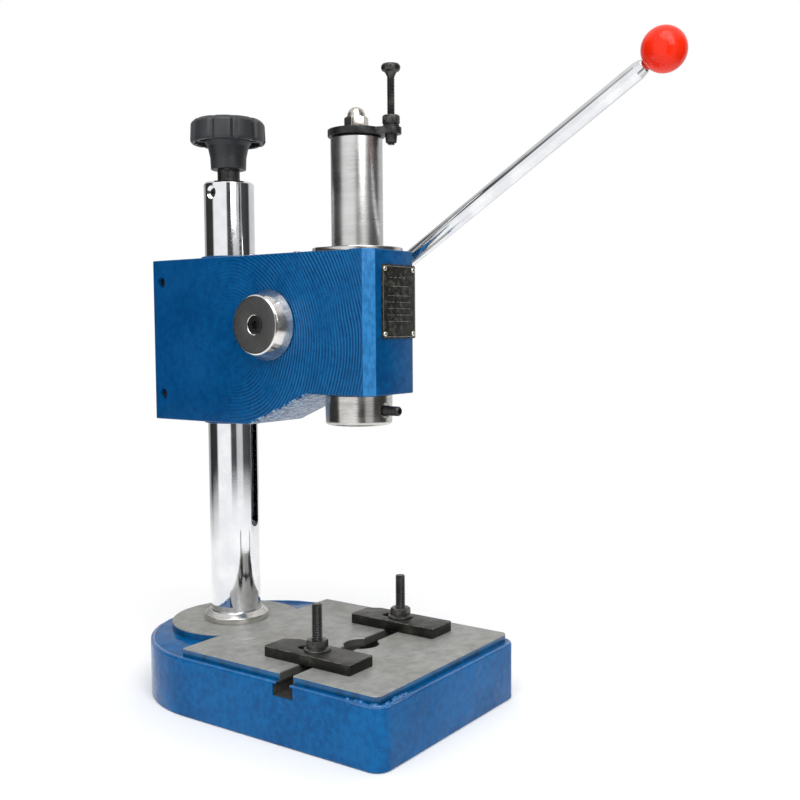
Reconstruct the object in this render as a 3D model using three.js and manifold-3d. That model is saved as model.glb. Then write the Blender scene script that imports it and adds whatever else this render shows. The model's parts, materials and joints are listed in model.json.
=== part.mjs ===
// A round-column hand press (arbor press): slotted base, height-adjustable head,
// sector-gear ram drive with a hand lever, and two T-slot work clamps.
//
// Units are millimetres. +X is the operator's right (lever side), -Y is the front,
// +Z is up. The origin is the centre of the base's underside.

import * as THREE from 'three';
import { mergeVertices } from 'three/addons/utils/BufferGeometryUtils.js';
import Module from 'manifold-3d';

const wasm = await Module();
wasm.setup();

// ---------------------------------------------------------------- driving dimensions

const GAP = 0.3;                 // running gap between pieces that touch
const BIG_ROUND = 36;            // segments of the column and ram
const ROUND = 28;                // segments of other large rounds
const MEDIUM_ROUND = 20;
const SMALL_ROUND = 12;          // segments of a fastener
const TINY_ROUND = 8;            // segments of a pin or rivet

// main axes
const COLUMN_Y = 77.5;           // column axis
const THROAT = 130;              // column axis to ram axis
const RAM_Y = COLUMN_Y - THROAT;
const SHAFT_TO_RAM = 63;         // pinion shaft axis to ram axis
const SHAFT_Y = RAM_Y + SHAFT_TO_RAM;
const SHAFT_Z = 290;

// base casting
const BASE_WIDTH = 178;
const BASE_FRONT = -136.5;
const BASE_REAR_CENTRE_Y = 47.5; // centre of the half-round rear end
const BASE_CORNER = 11;          // front corner radius
const BASE_TOP = 50;
const LEDGE_TOP = 44;            // painted step around the machined table
const TABLE_HALF_WIDTH = 84.5;
const TABLE_FRONT = -131;
const TABLE_BACK = 50.5;
const TABLE_COLUMN_BOSS = 52;    // radius of the machined boss around the column
const TABLE_HOLE = 13.5;         // radius of the through hole under the ram
const SLOT_NARROW = 12.5;
const SLOT_WIDE = 18.5;
const SLOT_NECK_BOTTOM = 43;
const SLOT_BOTTOM = 34.5;
const POCKET_ROOF = 24;          // underside core pockets

// column
const COLUMN_R = 20;
const COLUMN_BOTTOM = 14;
const COLUMN_TOP = 404;
const COLUMN_BORE_R = 12;
const COLUMN_BORE_BOTTOM = 96;
const COLUMN_SLOT_WIDTH = 10;
const COLUMN_SLOT_LOW = 127;
const COLUMN_SLOT_HIGH = 316;
const SLOT_DIRECTION = THREE.MathUtils.degToRad(-80);
const BUSH_SCREW_Z = 395;        // grub screw that holds the screw bush
const COLLAR_R = 26;
const COLLAR_HEIGHT = 8;

// head casting
const HEAD_HALF_WIDTH = 30;
const HEAD_FRONT = COLUMN_Y - 163.5;
const HEAD_BACK = COLUMN_Y + 58.5;
const HEAD_TOP = 343;
const HEAD_BOTTOM = 214;         // under the column boss
const HEAD_NOSE_BOTTOM = 239;    // under the ram
const HEAD_SLOPE_BACK = 30;
const HEAD_SLOPE_FRONT = -28;
const HEAD_CHAMFER = 7.5;
const RAM_BOSS_R = 33.5;
const RAM_BOSS_HEIGHT = 2.5;
const COLUMN_RING_R = 23;
const COLUMN_RING_HEIGHT = 2;
const CLAMP_SLIT = 3;
const CLAMP_SCREW_Y = COLUMN_Y + 48.5;
const CLAMP_SCREW_Z = [325, 234.5];

// gear case inside the head
const CASE_HALF_WIDTH = 14;
const CASE_FLOOR = 239.5;
const CASE_ROOF = 340;
const CASE_BACK = 40;
const CASE_FRONT = -46;
const COVER_FRONT = -17;
const COVER_MARGIN = 7;

// gearing
const MODULE = 2;
const GEAR_TEETH = 47;           // teeth of the full circle
const GEAR_PITCH_R = MODULE * GEAR_TEETH / 2;
const GEAR_HALF_WIDTH = 9;
const GEAR_TEETH_BELOW = 2;      // teeth cut below the mesh point at rest
const GEAR_TEETH_ABOVE = 13;
const ADDENDUM = 1.7;
const DEDENDUM = 2.5;
const TOOTH_PITCH = Math.PI * MODULE;
const RACK_BELOW = 3;            // rack teeth below the mesh point at rest
const RACK_ABOVE = 13;

// shaft, hub and lever
const SHAFT_R = 10;
const SHAFT_STUB_R = 8;
const SHAFT_LEFT = -30.4;
const SHAFT_STUB_LEFT = -35.2;
const SHAFT_RIGHT = 57;
const SHAFT_BUSH_R = 13;
const HUB_LEFT = 31.2;
const HUB_RIGHT = 57.4;
const HUB_R = 19;
const LEVER_X = 44;
const LEVER_ANGLE = THREE.MathUtils.degToRad(32);
const LEVER_LENGTH = 328.5;      // shaft axis to ball centre
const LEVER_ROD_R = 6;
const BALL_R = 15;

// spring cap on the left end of the shaft
const CAP_BACK = -31;
const CAP_FRONT = -44;
const CAP_FRONT_R = 21.5;
const CAP_BACK_R = 27;
const CAP_HOLLOW_R = 22.6;
const CAP_HOLLOW_FRONT = -41;
const CAP_BOSS_R = 11;
const CAP_COUNTERBORE_R = 7.2;
const CAP_COUNTERBORE_FLOOR = -38.5;
const SPRING_WIDTH = 7;
const SPRING_TURNS = 2.6;
const SPRING_THICKNESS = 0.9;
const SPRING_INNER_R = 11.8;
const SPRING_OUTER_R = 17.2;
const ANCHOR_R = 2;
const ANCHOR_RADIUS = 20;        // from the shaft axis

// ram and tool holder
const RAM_R = 19;
const RAM_BOTTOM = 238.6;
const RAM_TOP = 425.7;
const HOLDER_R = 25;
const HOLDER_BOTTOM = 216;
const HOLDER_TOP = 238.2;
const TOOL_BORE_R = 6;
const TOOL_SCREW_Z = 227;
const TOOL_SCREW_END = 37.3;     // from the ram axis

// stop plate and stop bolt
const PLATE_R = 21;
const PLATE_BOTTOM = 426;
const PLATE_TOP = 431;
const EAR_DISTANCE = 27.5;
const EAR_ANGLE = THREE.MathUtils.degToRad(-77);
const EAR_R = 7.5;
const STOP_BOLT_R = 2.85;
const STOP_BOLT_BOTTOM = 418.6;
const STOP_BOLT_TOP = 475.6;

// lift screw and knob
const SCREW_R = 8;
const SCREW_BOTTOM = 100;
const KNOB_R = 30;
const KNOB_BOTTOM = 435;
const KNOB_TOP = 455;
const KNOB_HUB_BOTTOM = 414.4;
const KNOB_LOBES = 10;
const LIFT_NUT_Z = 270;
const LIFT_NUT_HEIGHT = 36;
const LIFT_PIN_R = 4.7;

// work clamps
const CLAMP_X = 51.2;            // distance of each clamp stud from the centre
const STRAP_LENGTH = 79;
const STRAP_WIDTH = 27;
const STRAP_THICKNESS = 8;
const STRAP_CLIP_LENGTH = 11;     // corner cut off the strap's rear end
const STRAP_CLIP_WIDTH = 6;
const STRAP_CORNER = 2;
const STUD_R = 3.9;
const STUD_TOP = 92;

// ---------------------------------------------------------------- solid helpers

function toManifold(geometry) {
  const bare = geometry.clone();
  for (const name of Object.keys(bare.attributes)) {
    if (name !== 'position') bare.deleteAttribute(name);
  }
  const merged = mergeVertices(bare, 1e-4);
  const mesh = new wasm.Mesh({
    numProp: 3,
    vertProperties: new Float32Array(merged.attributes.position.array),
    triVerts: new Uint32Array(merged.index.array),
  });
  return new wasm.Manifold(mesh);
}

function toGeometry(solid) {
  const mesh = solid.getMesh();
  const geometry = new THREE.BufferGeometry();
  const positions = new Float32Array(mesh.numVert * 3);
  for (let i = 0; i < mesh.numVert; i += 1) {
    for (let axis = 0; axis < 3; axis += 1) {
      positions[3 * i + axis] = mesh.vertProperties[mesh.numProp * i + axis];
    }
  }
  geometry.setAttribute('position', new THREE.BufferAttribute(positions, 3));
  geometry.setIndex(new THREE.BufferAttribute(new Uint32Array(mesh.triVerts), 1));
  return geometry;
}

// base shape minus every cutter
function cut(geometry, cutters) {
  const solid = cutters.reduce((left, cutter) => left.subtract(toManifold(cutter)), toManifold(geometry));
  return toGeometry(solid);
}

function join(geometries) {
  const [first, ...rest] = geometries.map(toManifold);
  return toGeometry(rest.reduce((left, right) => left.add(right), first));
}

function common(first, second) {
  return toGeometry(toManifold(first).intersect(toManifold(second)));
}

function box(xLow, xHigh, yLow, yHigh, zLow, zHigh) {
  const geometry = new THREE.BoxGeometry(xHigh - xLow, yHigh - yLow, zHigh - zLow);
  return geometry.translate((xLow + xHigh) / 2, (yLow + yHigh) / 2, (zLow + zHigh) / 2);
}

// closed outline extruded from zLow to zHigh
function slab(shape, zLow, zHigh, curveSegments = 12) {
  const geometry = new THREE.ExtrudeGeometry(shape, {
    depth: zHigh - zLow,
    bevelEnabled: false,
    curveSegments,
  });
  return geometry.translate(0, 0, zLow);
}

// solid of revolution about Z; each profile point is [radius, z], from the axis back to the axis
function turned(profile, segments = ROUND) {
  const points = profile.map(([radius, z]) => new THREE.Vector2(radius, z));
  return new THREE.LatheGeometry(points, segments).rotateX(Math.PI / 2);
}

function disc(radius, zLow, zHigh, segments = ROUND) {
  return turned([[0, zLow], [radius, zLow], [radius, zHigh], [0, zHigh]], segments);
}

function tube(inner, outer, zLow, zHigh, segments = ROUND) {
  return turned([[inner, zLow], [outer, zLow], [outer, zHigh], [inner, zHigh], [inner, zLow]], segments);
}

// turns a shape made along +Z so that it points along +X
function alongX(geometry) {
  return geometry.rotateY(Math.PI / 2);
}

// turns a shape made along +Z so that it points away from the axis at an angle in the XY plane
function alongDirection(geometry, angle) {
  return geometry.rotateY(Math.PI / 2).rotateZ(angle);
}

function hexagonShape(acrossFlats, turn = 0) {
  const shape = new THREE.Shape();
  const radius = acrossFlats / Math.sqrt(3);
  for (let i = 0; i < 6; i += 1) {
    const angle = turn + i * Math.PI / 3;
    const x = radius * Math.cos(angle);
    const y = radius * Math.sin(angle);
    if (i === 0) shape.moveTo(x, y);
    else shape.lineTo(x, y);
  }
  shape.closePath();
  return shape;
}

function hexagon(acrossFlats, zLow, zHigh, turn = 0) {
  return slab(hexagonShape(acrossFlats, turn), zLow, zHigh);
}

// socket-head cap screw along -Z: head from 0 up to headHeight, shank down to -length
function socketScrew(headR, headHeight, shankR, length, socket) {
  const body = turned([
    [0, -length], [shankR - 0.5, -length], [shankR, -length + 0.5], [shankR, 0], [headR, 0],
    [headR, headHeight - 0.6], [headR - 0.6, headHeight], [0, headHeight],
  ], SMALL_ROUND);
  return cut(body, [hexagon(socket, headHeight * 0.4, headHeight + 1)]);
}

// hexagon nut with chamfered corners, from z = 0 up
function hexNut(acrossFlats, height, boreR) {
  const outer = acrossFlats / Math.sqrt(3);
  const crown = turned([
    [0, 0], [outer - 0.9, 0], [outer, 0.8], [outer, height - 0.8], [outer - 0.9, height], [0, height],
  ], SMALL_ROUND);
  return cut(common(hexagon(acrossFlats, 0, height), crown), [disc(boreR, -1, height + 1, SMALL_ROUND)]);
}

// ---------------------------------------------------------------- materials and nodes

const arborPress = new THREE.Group();
arborPress.name = 'arbor_press';

const FINISHES = {
  blue_enamel: { color: 0x0b5296, roughness: 0.32, metalness: 0.1 },
  ground_steel: { color: 0x9a9792, roughness: 0.42, metalness: 0.9 },
  chrome: { color: 0xd8dadd, roughness: 0.1, metalness: 1.0 },
  black_oxide: { color: 0x2b2b2a, roughness: 0.5, metalness: 0.7 },
  nickel: { color: 0xc4b9a8, roughness: 0.22, metalness: 1.0 },
  bronze: { color: 0xa8793f, roughness: 0.4, metalness: 0.9 },
  spring_steel: { color: 0x55585c, roughness: 0.35, metalness: 0.9 },
  black_plastic: { color: 0x35363a, roughness: 0.5, metalness: 0.0 },
  red_plastic: { color: 0xf03a1f, roughness: 0.22, metalness: 0.0 },
  nameplate: { color: 0x2e2f2c, roughness: 0.4, metalness: 0.6 },
};

function addNode(name, geometry, finish, place = [0, 0, 0]) {
  const material = new THREE.MeshStandardMaterial(FINISHES[finish]);
  const mesh = new THREE.Mesh(geometry, material);
  mesh.name = name;
  mesh.position.set(...place);
  arborPress.add(mesh);
  return mesh;
}

// ---------------------------------------------------------------- base

// rectangle with rounded front corners and a half-round rear end
function baseOutline(halfWidth, front, corner) {
  const shape = new THREE.Shape();
  shape.moveTo(halfWidth, BASE_REAR_CENTRE_Y);
  shape.absarc(0, BASE_REAR_CENTRE_Y, halfWidth, 0, Math.PI, false);
  shape.lineTo(-halfWidth, front + corner);
  shape.absarc(-halfWidth + corner, front + corner, corner, Math.PI, 1.5 * Math.PI, false);
  shape.lineTo(halfWidth - corner, front);
  shape.absarc(halfWidth - corner, front + corner, corner, 1.5 * Math.PI, 2 * Math.PI, false);
  shape.closePath();
  return shape;
}

// machined table: a rectangle that runs into the round boss at the column
function tableOutline() {
  const halfAngle = Math.asin((TABLE_BACK - COLUMN_Y) / TABLE_COLUMN_BOSS);
  const shape = new THREE.Shape();
  const corner = 5;
  shape.moveTo(TABLE_HALF_WIDTH, TABLE_BACK);
  shape.absarc(0, COLUMN_Y, TABLE_COLUMN_BOSS, halfAngle, Math.PI - halfAngle, false);
  shape.lineTo(-TABLE_HALF_WIDTH, TABLE_BACK);
  shape.lineTo(-TABLE_HALF_WIDTH, TABLE_FRONT + corner);
  shape.absarc(-TABLE_HALF_WIDTH + corner, TABLE_FRONT + corner, corner, Math.PI, 1.5 * Math.PI, false);
  shape.absarc(TABLE_HALF_WIDTH - corner, TABLE_FRONT + corner, corner, 1.5 * Math.PI, 2 * Math.PI, false);
  shape.closePath();
  return shape;
}

function corePockets() {
  const columns = [[18, 48], [56, 80]];
  const rows = [[-126, -88], [-80, -42], [-34, 4], [12, 40]];
  const pockets = [];
  for (const side of [-1, 1]) {
    for (const [near, far] of columns) {
      for (const [front, back] of rows) {
        const [low, high] = side > 0 ? [near, far] : [-far, -near];
        pockets.push(box(low, high, front, back, -1, POCKET_ROOF));
      }
    }
  }
  return pockets;
}

function buildBase() {
  const body = slab(baseOutline(BASE_WIDTH / 2, BASE_FRONT, BASE_CORNER), 0, LEDGE_TOP, 14);
  const table = slab(tableOutline(), LEDGE_TOP - 10, BASE_TOP, 12);
  const reach = BASE_WIDTH;
  const neck = box(-reach, reach, RAM_Y - SLOT_NARROW / 2, RAM_Y + SLOT_NARROW / 2,
    SLOT_NECK_BOTTOM - 1, BASE_TOP + 1);
  const half = SLOT_WIDE / 2;
  const wide = box(-reach, reach, RAM_Y - half, RAM_Y + half, SLOT_BOTTOM, SLOT_NECK_BOTTOM);
  const columnSocket = disc(COLUMN_R + 0.25, COLUMN_BOTTOM - GAP, BASE_TOP + 1).translate(0, COLUMN_Y, 0);
  const boltHole = disc(6.6, -1, COLUMN_BOTTOM + 1, SMALL_ROUND).translate(0, COLUMN_Y, 0);
  const boltCounterbore = disc(16, -1, 9.4, SMALL_ROUND).translate(0, COLUMN_Y, 0);
  const hole = disc(TABLE_HOLE, -1, BASE_TOP + 1, ROUND).translate(0, RAM_Y, 0);
  const geometry = cut(join([body, table]), [
    neck, wide, columnSocket, boltHole, boltCounterbore, hole, ...corePockets(),
  ]);
  addNode('base', geometry, 'blue_enamel');
}

// ---------------------------------------------------------------- column

function columnSlot() {
  const half = COLUMN_SLOT_WIDTH / 2;
  const shape = new THREE.Shape();
  shape.moveTo(-half, COLUMN_SLOT_LOW + half);
  shape.absarc(0, COLUMN_SLOT_LOW + half, half, Math.PI, 2 * Math.PI, false);
  shape.absarc(0, COLUMN_SLOT_HIGH - half, half, 0, Math.PI, false);
  shape.closePath();
  const depth = COLUMN_R + 5;
  return slab(shape, 0, depth, 8).rotateX(Math.PI / 2).rotateZ(SLOT_DIRECTION + Math.PI / 2);
}

function buildColumn() {
  const bar = turned([
    [0, COLUMN_BOTTOM], [COLUMN_R - 1, COLUMN_BOTTOM], [COLUMN_R, COLUMN_BOTTOM + 1],
    [COLUMN_R, COLUMN_TOP - 1.5], [COLUMN_R - 1.5, COLUMN_TOP], [0, COLUMN_TOP],
  ], BIG_ROUND);
  const bore = disc(COLUMN_BORE_R, COLUMN_BORE_BOTTOM, COLUMN_TOP + 1, ROUND);
  const tapped = disc(5.4, COLUMN_BOTTOM - 1, 52, SMALL_ROUND);
  const grubHole = disc(3, 8, 30, SMALL_ROUND).rotateY(-Math.PI / 2).translate(0, 0, BUSH_SCREW_Z);
  const geometry = cut(bar, [bore, tapped, grubHole, columnSlot()]);
  addNode('column', geometry, 'chrome', [0, COLUMN_Y, 0]);

  const collar = turned([
    [COLUMN_R + 0.2, 0], [COLLAR_R, 0], [COLLAR_R, COLLAR_HEIGHT - 3.6], [COLUMN_R + 1.6, COLLAR_HEIGHT],
    [COLUMN_R + 0.2, COLLAR_HEIGHT], [COLUMN_R + 0.2, 0],
  ], BIG_ROUND);
  addNode('column_collar', collar, 'chrome', [0, COLUMN_Y, BASE_TOP + 0.05]);

  const washer = tube(5.8, 12, 0, 2.4, SMALL_ROUND);
  addNode('column_bolt_washer', washer, 'black_oxide', [0, COLUMN_Y, 6.7]);

  const bolt = join([hexagon(18, 0, 5.8), disc(5.1, 5.8, 48, SMALL_ROUND)]);
  addNode('column_bolt', bolt, 'black_oxide', [0, COLUMN_Y, 0.6]);
}

function buildScrewBush() {
  const bush = tube(SCREW_R + 0.25, COLUMN_BORE_R - 0.25, COLUMN_TOP - 22, COLUMN_TOP - 0.4, ROUND);
  const dimple = disc(2.4, 9.6, 14, SMALL_ROUND).rotateY(-Math.PI / 2).translate(0, 0, BUSH_SCREW_Z);
  addNode('screw_bush', cut(bush, [dimple]), 'bronze', [0, COLUMN_Y, 0]);

  const grubProfile = [[0, 10], [1.4, 10], [2.1, 11], [2.1, 12.4], [2.7, 13], [2.7, 18], [0, 18]];
  const grub = turned(grubProfile, SMALL_ROUND);
  const socket = hexagon(2.6, 15.5, 19);
  const screw = cut(grub, [socket]).rotateY(-Math.PI / 2);
  addNode('bush_grub_screw', screw, 'black_oxide', [0, COLUMN_Y, BUSH_SCREW_Z]);
}

// ---------------------------------------------------------------- lift screw and knob

function buildLiftScrew() {
  const screw = turned([
    [0, SCREW_BOTTOM], [SCREW_R - 1.5, SCREW_BOTTOM], [SCREW_R - 0.2, SCREW_BOTTOM + 1.5],
    [SCREW_R - 0.2, 449], [SCREW_R - 1.2, 450], [0, 450],
  ], MEDIUM_ROUND);
  const pinHole = disc(2.2, -20, 20, TINY_ROUND).rotateY(Math.PI / 2).translate(0, 0, 424);
  addNode('lift_screw', cut(screw, [pinHole]), 'ground_steel', [0, COLUMN_Y, 0]);

  const thrust = turned([
    [SCREW_R + 0.1, COLUMN_TOP + 0.3], [9.4, COLUMN_TOP + 0.3], [8.9, COLUMN_TOP + 3],
    [8.9, KNOB_HUB_BOTTOM - 0.3], [SCREW_R + 0.1, KNOB_HUB_BOTTOM - 0.3], [SCREW_R + 0.1, COLUMN_TOP + 0.3],
  ], MEDIUM_ROUND);
  addNode('thrust_collar', thrust, 'black_oxide', [0, COLUMN_Y, 0]);

  const lock = tube(SCREW_R + 0.1, COLUMN_BORE_R - 0.6, COLUMN_TOP - 30, COLUMN_TOP - 22.3, MEDIUM_ROUND);
  addNode('lock_collar', lock, 'black_oxide', [0, COLUMN_Y, 0]);
}

// ring of shallow finger flutes between broad lobes
function knobOutline(radius) {
  const shape = new THREE.Shape();
  const steps = KNOB_LOBES * 6;
  for (let i = 0; i < steps; i += 1) {
    const angle = i * 2 * Math.PI / steps;
    const wave = Math.cos(KNOB_LOBES * angle);
    const dip = wave < -0.55 ? (-0.55 - wave) * 3.4 : 0;
    const x = (radius - dip) * Math.cos(angle);
    const y = (radius - dip) * Math.sin(angle);
    if (i === 0) shape.moveTo(x, y);
    else shape.lineTo(x, y);
  }
  shape.closePath();
  return shape;
}

function buildKnob() {
  const rim = slab(knobOutline(KNOB_R), KNOB_BOTTOM, KNOB_TOP + 1);
  const envelope = turned([
    [0, KNOB_BOTTOM - 1], [KNOB_R + 0.5, KNOB_BOTTOM - 1], [KNOB_R + 0.5, KNOB_TOP - 5],
    [KNOB_R - 1.2, KNOB_TOP - 2.6], [KNOB_R - 4.5, KNOB_TOP - 1.2], [KNOB_R - 10, KNOB_TOP - 0.4],
    [0, KNOB_TOP],
  ]);
  const recess = tube(18, 26, KNOB_BOTTOM - 2, KNOB_BOTTOM + 9, ROUND);
  const ribs = [];
  for (let i = 0; i < 6; i += 1) {
    ribs.push(box(15, 27, -1.2, 1.2, KNOB_BOTTOM + 1.5, KNOB_BOTTOM + 12).rotateZ(i * Math.PI / 3));
  }
  const hub = turned([
    [0, KNOB_HUB_BOTTOM], [14.2, KNOB_HUB_BOTTOM], [14.2, KNOB_HUB_BOTTOM + 9], [15.4, KNOB_BOTTOM - 3],
    [18.5, KNOB_BOTTOM + 1], [18.5, KNOB_BOTTOM + 12], [0, KNOB_BOTTOM + 12],
  ]);
  const body = join([cut(common(rim, envelope), [recess]), hub, ...ribs]);
  const bore = disc(SCREW_R + 0.1, KNOB_HUB_BOTTOM - 1, 450.4, MEDIUM_ROUND);
  const pinHole = disc(2.3, -20, 20, TINY_ROUND).rotateY(Math.PI / 2).translate(0, 0, 424);
  addNode('lift_knob', cut(body, [bore, pinHole]), 'black_plastic', [0, COLUMN_Y, 0]);

  const pin = disc(1.95, -13.4, 13.4, TINY_ROUND).rotateY(Math.PI / 2);
  addNode('knob_pin', pin, 'spring_steel', [0, COLUMN_Y, 424]);
}

// ---------------------------------------------------------------- head

// side view of the head, drawn in (y, z)
function headSideShape() {
  const shape = new THREE.Shape();
  shape.moveTo(HEAD_FRONT, HEAD_NOSE_BOTTOM);
  shape.lineTo(HEAD_SLOPE_FRONT, HEAD_NOSE_BOTTOM);
  shape.lineTo(HEAD_SLOPE_BACK, HEAD_BOTTOM);
  shape.lineTo(HEAD_BACK - 2, HEAD_BOTTOM);
  shape.lineTo(HEAD_BACK, HEAD_BOTTOM + 2);
  shape.lineTo(HEAD_BACK, HEAD_TOP - 3);
  shape.lineTo(HEAD_BACK - 3, HEAD_TOP);
  shape.lineTo(HEAD_FRONT, HEAD_TOP);
  shape.closePath();
  return shape;
}

function headTopShape() {
  const w = HEAD_HALF_WIDTH;
  const c = HEAD_CHAMFER;
  const r = 2;
  const shape = new THREE.Shape();
  shape.moveTo(-w + c, HEAD_FRONT);
  shape.lineTo(w - c, HEAD_FRONT);
  shape.lineTo(w, HEAD_FRONT + c);
  shape.lineTo(w, HEAD_BACK - r);
  shape.absarc(w - r, HEAD_BACK - r, r, 0, Math.PI / 2, false);
  shape.absarc(-w + r, HEAD_BACK - r, r, Math.PI / 2, Math.PI, false);
  shape.lineTo(-w, HEAD_FRONT + c);
  shape.closePath();
  return shape;
}

// extrudes a (y, z) outline symmetrically along X
function slabAcross(shape, halfWidth) {
  return slab(shape, -halfWidth, halfWidth).rotateX(Math.PI / 2).rotateZ(Math.PI / 2);
}

function coverScrewPlaces() {
  const x = CASE_HALF_WIDTH + COVER_MARGIN / 2;
  const places = [];
  for (const y of [COVER_FRONT + 8, CASE_BACK - 4]) {
    places.push([-x, y], [x, y]);
  }
  return places;
}

function buildHead() {
  const sideShape = headSideShape();
  const profile = slabAcross(sideShape, HEAD_HALF_WIDTH + 1);
  const plan = slab(headTopShape(), HEAD_BOTTOM - 1, HEAD_TOP + 1, 4);
  const ramBoss = common(
    disc(RAM_BOSS_R, HEAD_TOP - 5, HEAD_TOP + RAM_BOSS_HEIGHT, ROUND).translate(0, RAM_Y, 0),
    slab(headTopShape(), HEAD_TOP - 6, HEAD_TOP + 5, 4),
  );
  const topRing = disc(COLUMN_RING_R, HEAD_TOP - 5, HEAD_TOP + COLUMN_RING_HEIGHT).translate(0, COLUMN_Y, 0);
  const lowRing = disc(COLUMN_RING_R, HEAD_BOTTOM - COLUMN_RING_HEIGHT, HEAD_BOTTOM + 5)
    .translate(0, COLUMN_Y, 0);
  const body = join([common(profile, plan), ramBoss, topRing, lowRing]);

  const columnBore = disc(COLUMN_R + GAP, HEAD_BOTTOM - 5, HEAD_TOP + 5, BIG_ROUND).translate(0, COLUMN_Y, 0);
  const ramBore = disc(RAM_R + GAP, HEAD_NOSE_BOTTOM - 5, HEAD_TOP + 5, BIG_ROUND).translate(0, RAM_Y, 0);
  const slit = box(-CLAMP_SLIT / 2, CLAMP_SLIT / 2, COLUMN_Y, HEAD_BACK + 5, HEAD_BOTTOM - 5, HEAD_TOP + 5);
  const gearCase = box(-CASE_HALF_WIDTH, CASE_HALF_WIDTH, CASE_FRONT, CASE_BACK, CASE_FLOOR, CASE_ROOF - 4);
  const caseMouth = box(
    -CASE_HALF_WIDTH, CASE_HALF_WIDTH, COVER_FRONT + 3, CASE_BACK, CASE_FLOOR, HEAD_TOP + 1,
  );
  const coverSeat = box(-CASE_HALF_WIDTH - COVER_MARGIN, CASE_HALF_WIDTH + COVER_MARGIN,
    COVER_FRONT, CASE_BACK + 4, CASE_ROOF, HEAD_TOP + 4);
  const shaftBore = disc(SHAFT_BUSH_R + 0.2, -40, 40, ROUND)
    .rotateY(Math.PI / 2)
    .translate(0, SHAFT_Y, SHAFT_Z);
  const anchorHole = disc(ANCHOR_R + 0.2, -12, 0, TINY_ROUND).rotateY(Math.PI / 2)
    .translate(-HEAD_HALF_WIDTH + 6, SHAFT_Y, SHAFT_Z - ANCHOR_RADIUS);
  const pinHole = alongDirection(disc(LIFT_PIN_R + 0.25, 12, 45, SMALL_ROUND), SLOT_DIRECTION)
    .translate(0, COLUMN_Y, LIFT_NUT_Z);
  const cutters = [columnBore, ramBore, slit, gearCase, caseMouth, coverSeat, shaftBore, anchorHole, pinHole];
  for (const z of CLAMP_SCREW_Z) {
    cutters.push(disc(4.3, -40, 40, SMALL_ROUND).rotateY(Math.PI / 2).translate(0, CLAMP_SCREW_Y, z));
    cutters.push(disc(7, 20, 40, SMALL_ROUND).rotateY(Math.PI / 2).translate(0, CLAMP_SCREW_Y, z));
  }
  for (const [x, y] of coverScrewPlaces()) {
    cutters.push(disc(2.1, CASE_ROOF - 9, CASE_ROOF + 1, TINY_ROUND).translate(x, y, 0));
  }
  addNode('head_casting', cut(body, cutters), 'blue_enamel');
}

function buildGearCover() {
  const edge = CASE_HALF_WIDTH + COVER_MARGIN - GAP;
  const plate = box(-edge, edge, COVER_FRONT + GAP, CASE_BACK + 4 - GAP, CASE_ROOF + 0.1, HEAD_TOP);
  const ramRelief = disc(RAM_BOSS_R + 0.8, CASE_ROOF - 1, HEAD_TOP + 4, ROUND).translate(0, RAM_Y, 0);
  const hole = disc(2.3, CASE_ROOF - 1, HEAD_TOP + 4, TINY_ROUND);
  const holes = coverScrewPlaces().map(([x, y]) => hole.clone().translate(x, y, 0));
  addNode('gear_cover', cut(plate, [ramRelief, ...holes]), 'blue_enamel');

  const names = ['front_left', 'front_right', 'rear_left', 'rear_right'];
  coverScrewPlaces().forEach(([x, y], index) => {
    const screw = turned([[0, -9], [1.8, -9], [1.8, 0], [3.2, 0], [2.8, 1.2], [0, 1.8]], TINY_ROUND);
    addNode(`cover_screw_${names[index]}`, screw, 'nickel', [x, y, HEAD_TOP + 0.1]);
  });
}

function buildLiftNut() {
  const low = LIFT_NUT_Z - LIFT_NUT_HEIGHT / 2;
  const nut = tube(SCREW_R + 0.15, COLUMN_BORE_R - 0.3, low, low + LIFT_NUT_HEIGHT, ROUND);
  const hole = alongDirection(disc(LIFT_PIN_R + 0.1, 9, 15, SMALL_ROUND), SLOT_DIRECTION)
    .translate(0, 0, LIFT_NUT_Z);
  addNode('lift_nut', cut(nut, [hole]), 'bronze', [0, COLUMN_Y, 0]);

  const pin = turned([
    [0, 9.6], [LIFT_PIN_R - 0.8, 9.6], [LIFT_PIN_R - 0.1, 10.3], [LIFT_PIN_R - 0.1, 35.4],
    [LIFT_PIN_R - 0.8, 36], [0, 36],
  ], SMALL_ROUND);
  addNode('lift_pin', alongDirection(pin, SLOT_DIRECTION), 'spring_steel', [0, COLUMN_Y, LIFT_NUT_Z]);
}

function buildNameplate() {
  const centreX = 4;
  const centreZ = 306;
  const halfWidth = 20.5;
  const halfHeight = 26.5;
  const rivetX = halfWidth - 3.2;
  const rivetZ = halfHeight - 3.4;
  const back = HEAD_FRONT - 0.05;
  const front = back - 1;
  const plate = box(
    centreX - halfWidth, centreX + halfWidth, front, back, centreZ - halfHeight, centreZ + halfHeight,
  );
  const corners = {
    upper_left: [-rivetX, rivetZ],
    upper_right: [rivetX, rivetZ],
    lower_left: [-rivetX, -rivetZ],
    lower_right: [rivetX, -rivetZ],
  };
  const holes = Object.values(corners).map(([x, z]) => disc(1.2, -3, 3, TINY_ROUND).rotateX(Math.PI / 2)
    .translate(centreX + x, (front + back) / 2, centreZ + z));
  addNode('nameplate', cut(plate, holes), 'nameplate');
  for (const [corner, [x, z]] of Object.entries(corners)) {
    const rivet = turned([[0, -0.9], [1, -0.9], [1, 0.05], [1.9, 0.05], [1.3, 0.9], [0, 1.1]], TINY_ROUND);
    const place = [centreX + x, front, centreZ + z];
    addNode(`nameplate_rivet_${corner}`, rivet.rotateX(Math.PI / 2), 'nickel', place);
  }
}

function buildClampScrews() {
  const names = ['upper', 'lower'];
  CLAMP_SCREW_Z.forEach((z, index) => {
    const screw = alongX(socketScrew(6.5, 8, 3.9, 46, 6));
    addNode(`head_clamp_screw_${names[index]}`, screw, 'black_oxide', [20.3, CLAMP_SCREW_Y, z]);
  });
}

// ---------------------------------------------------------------- shaft, gear and lever

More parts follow.
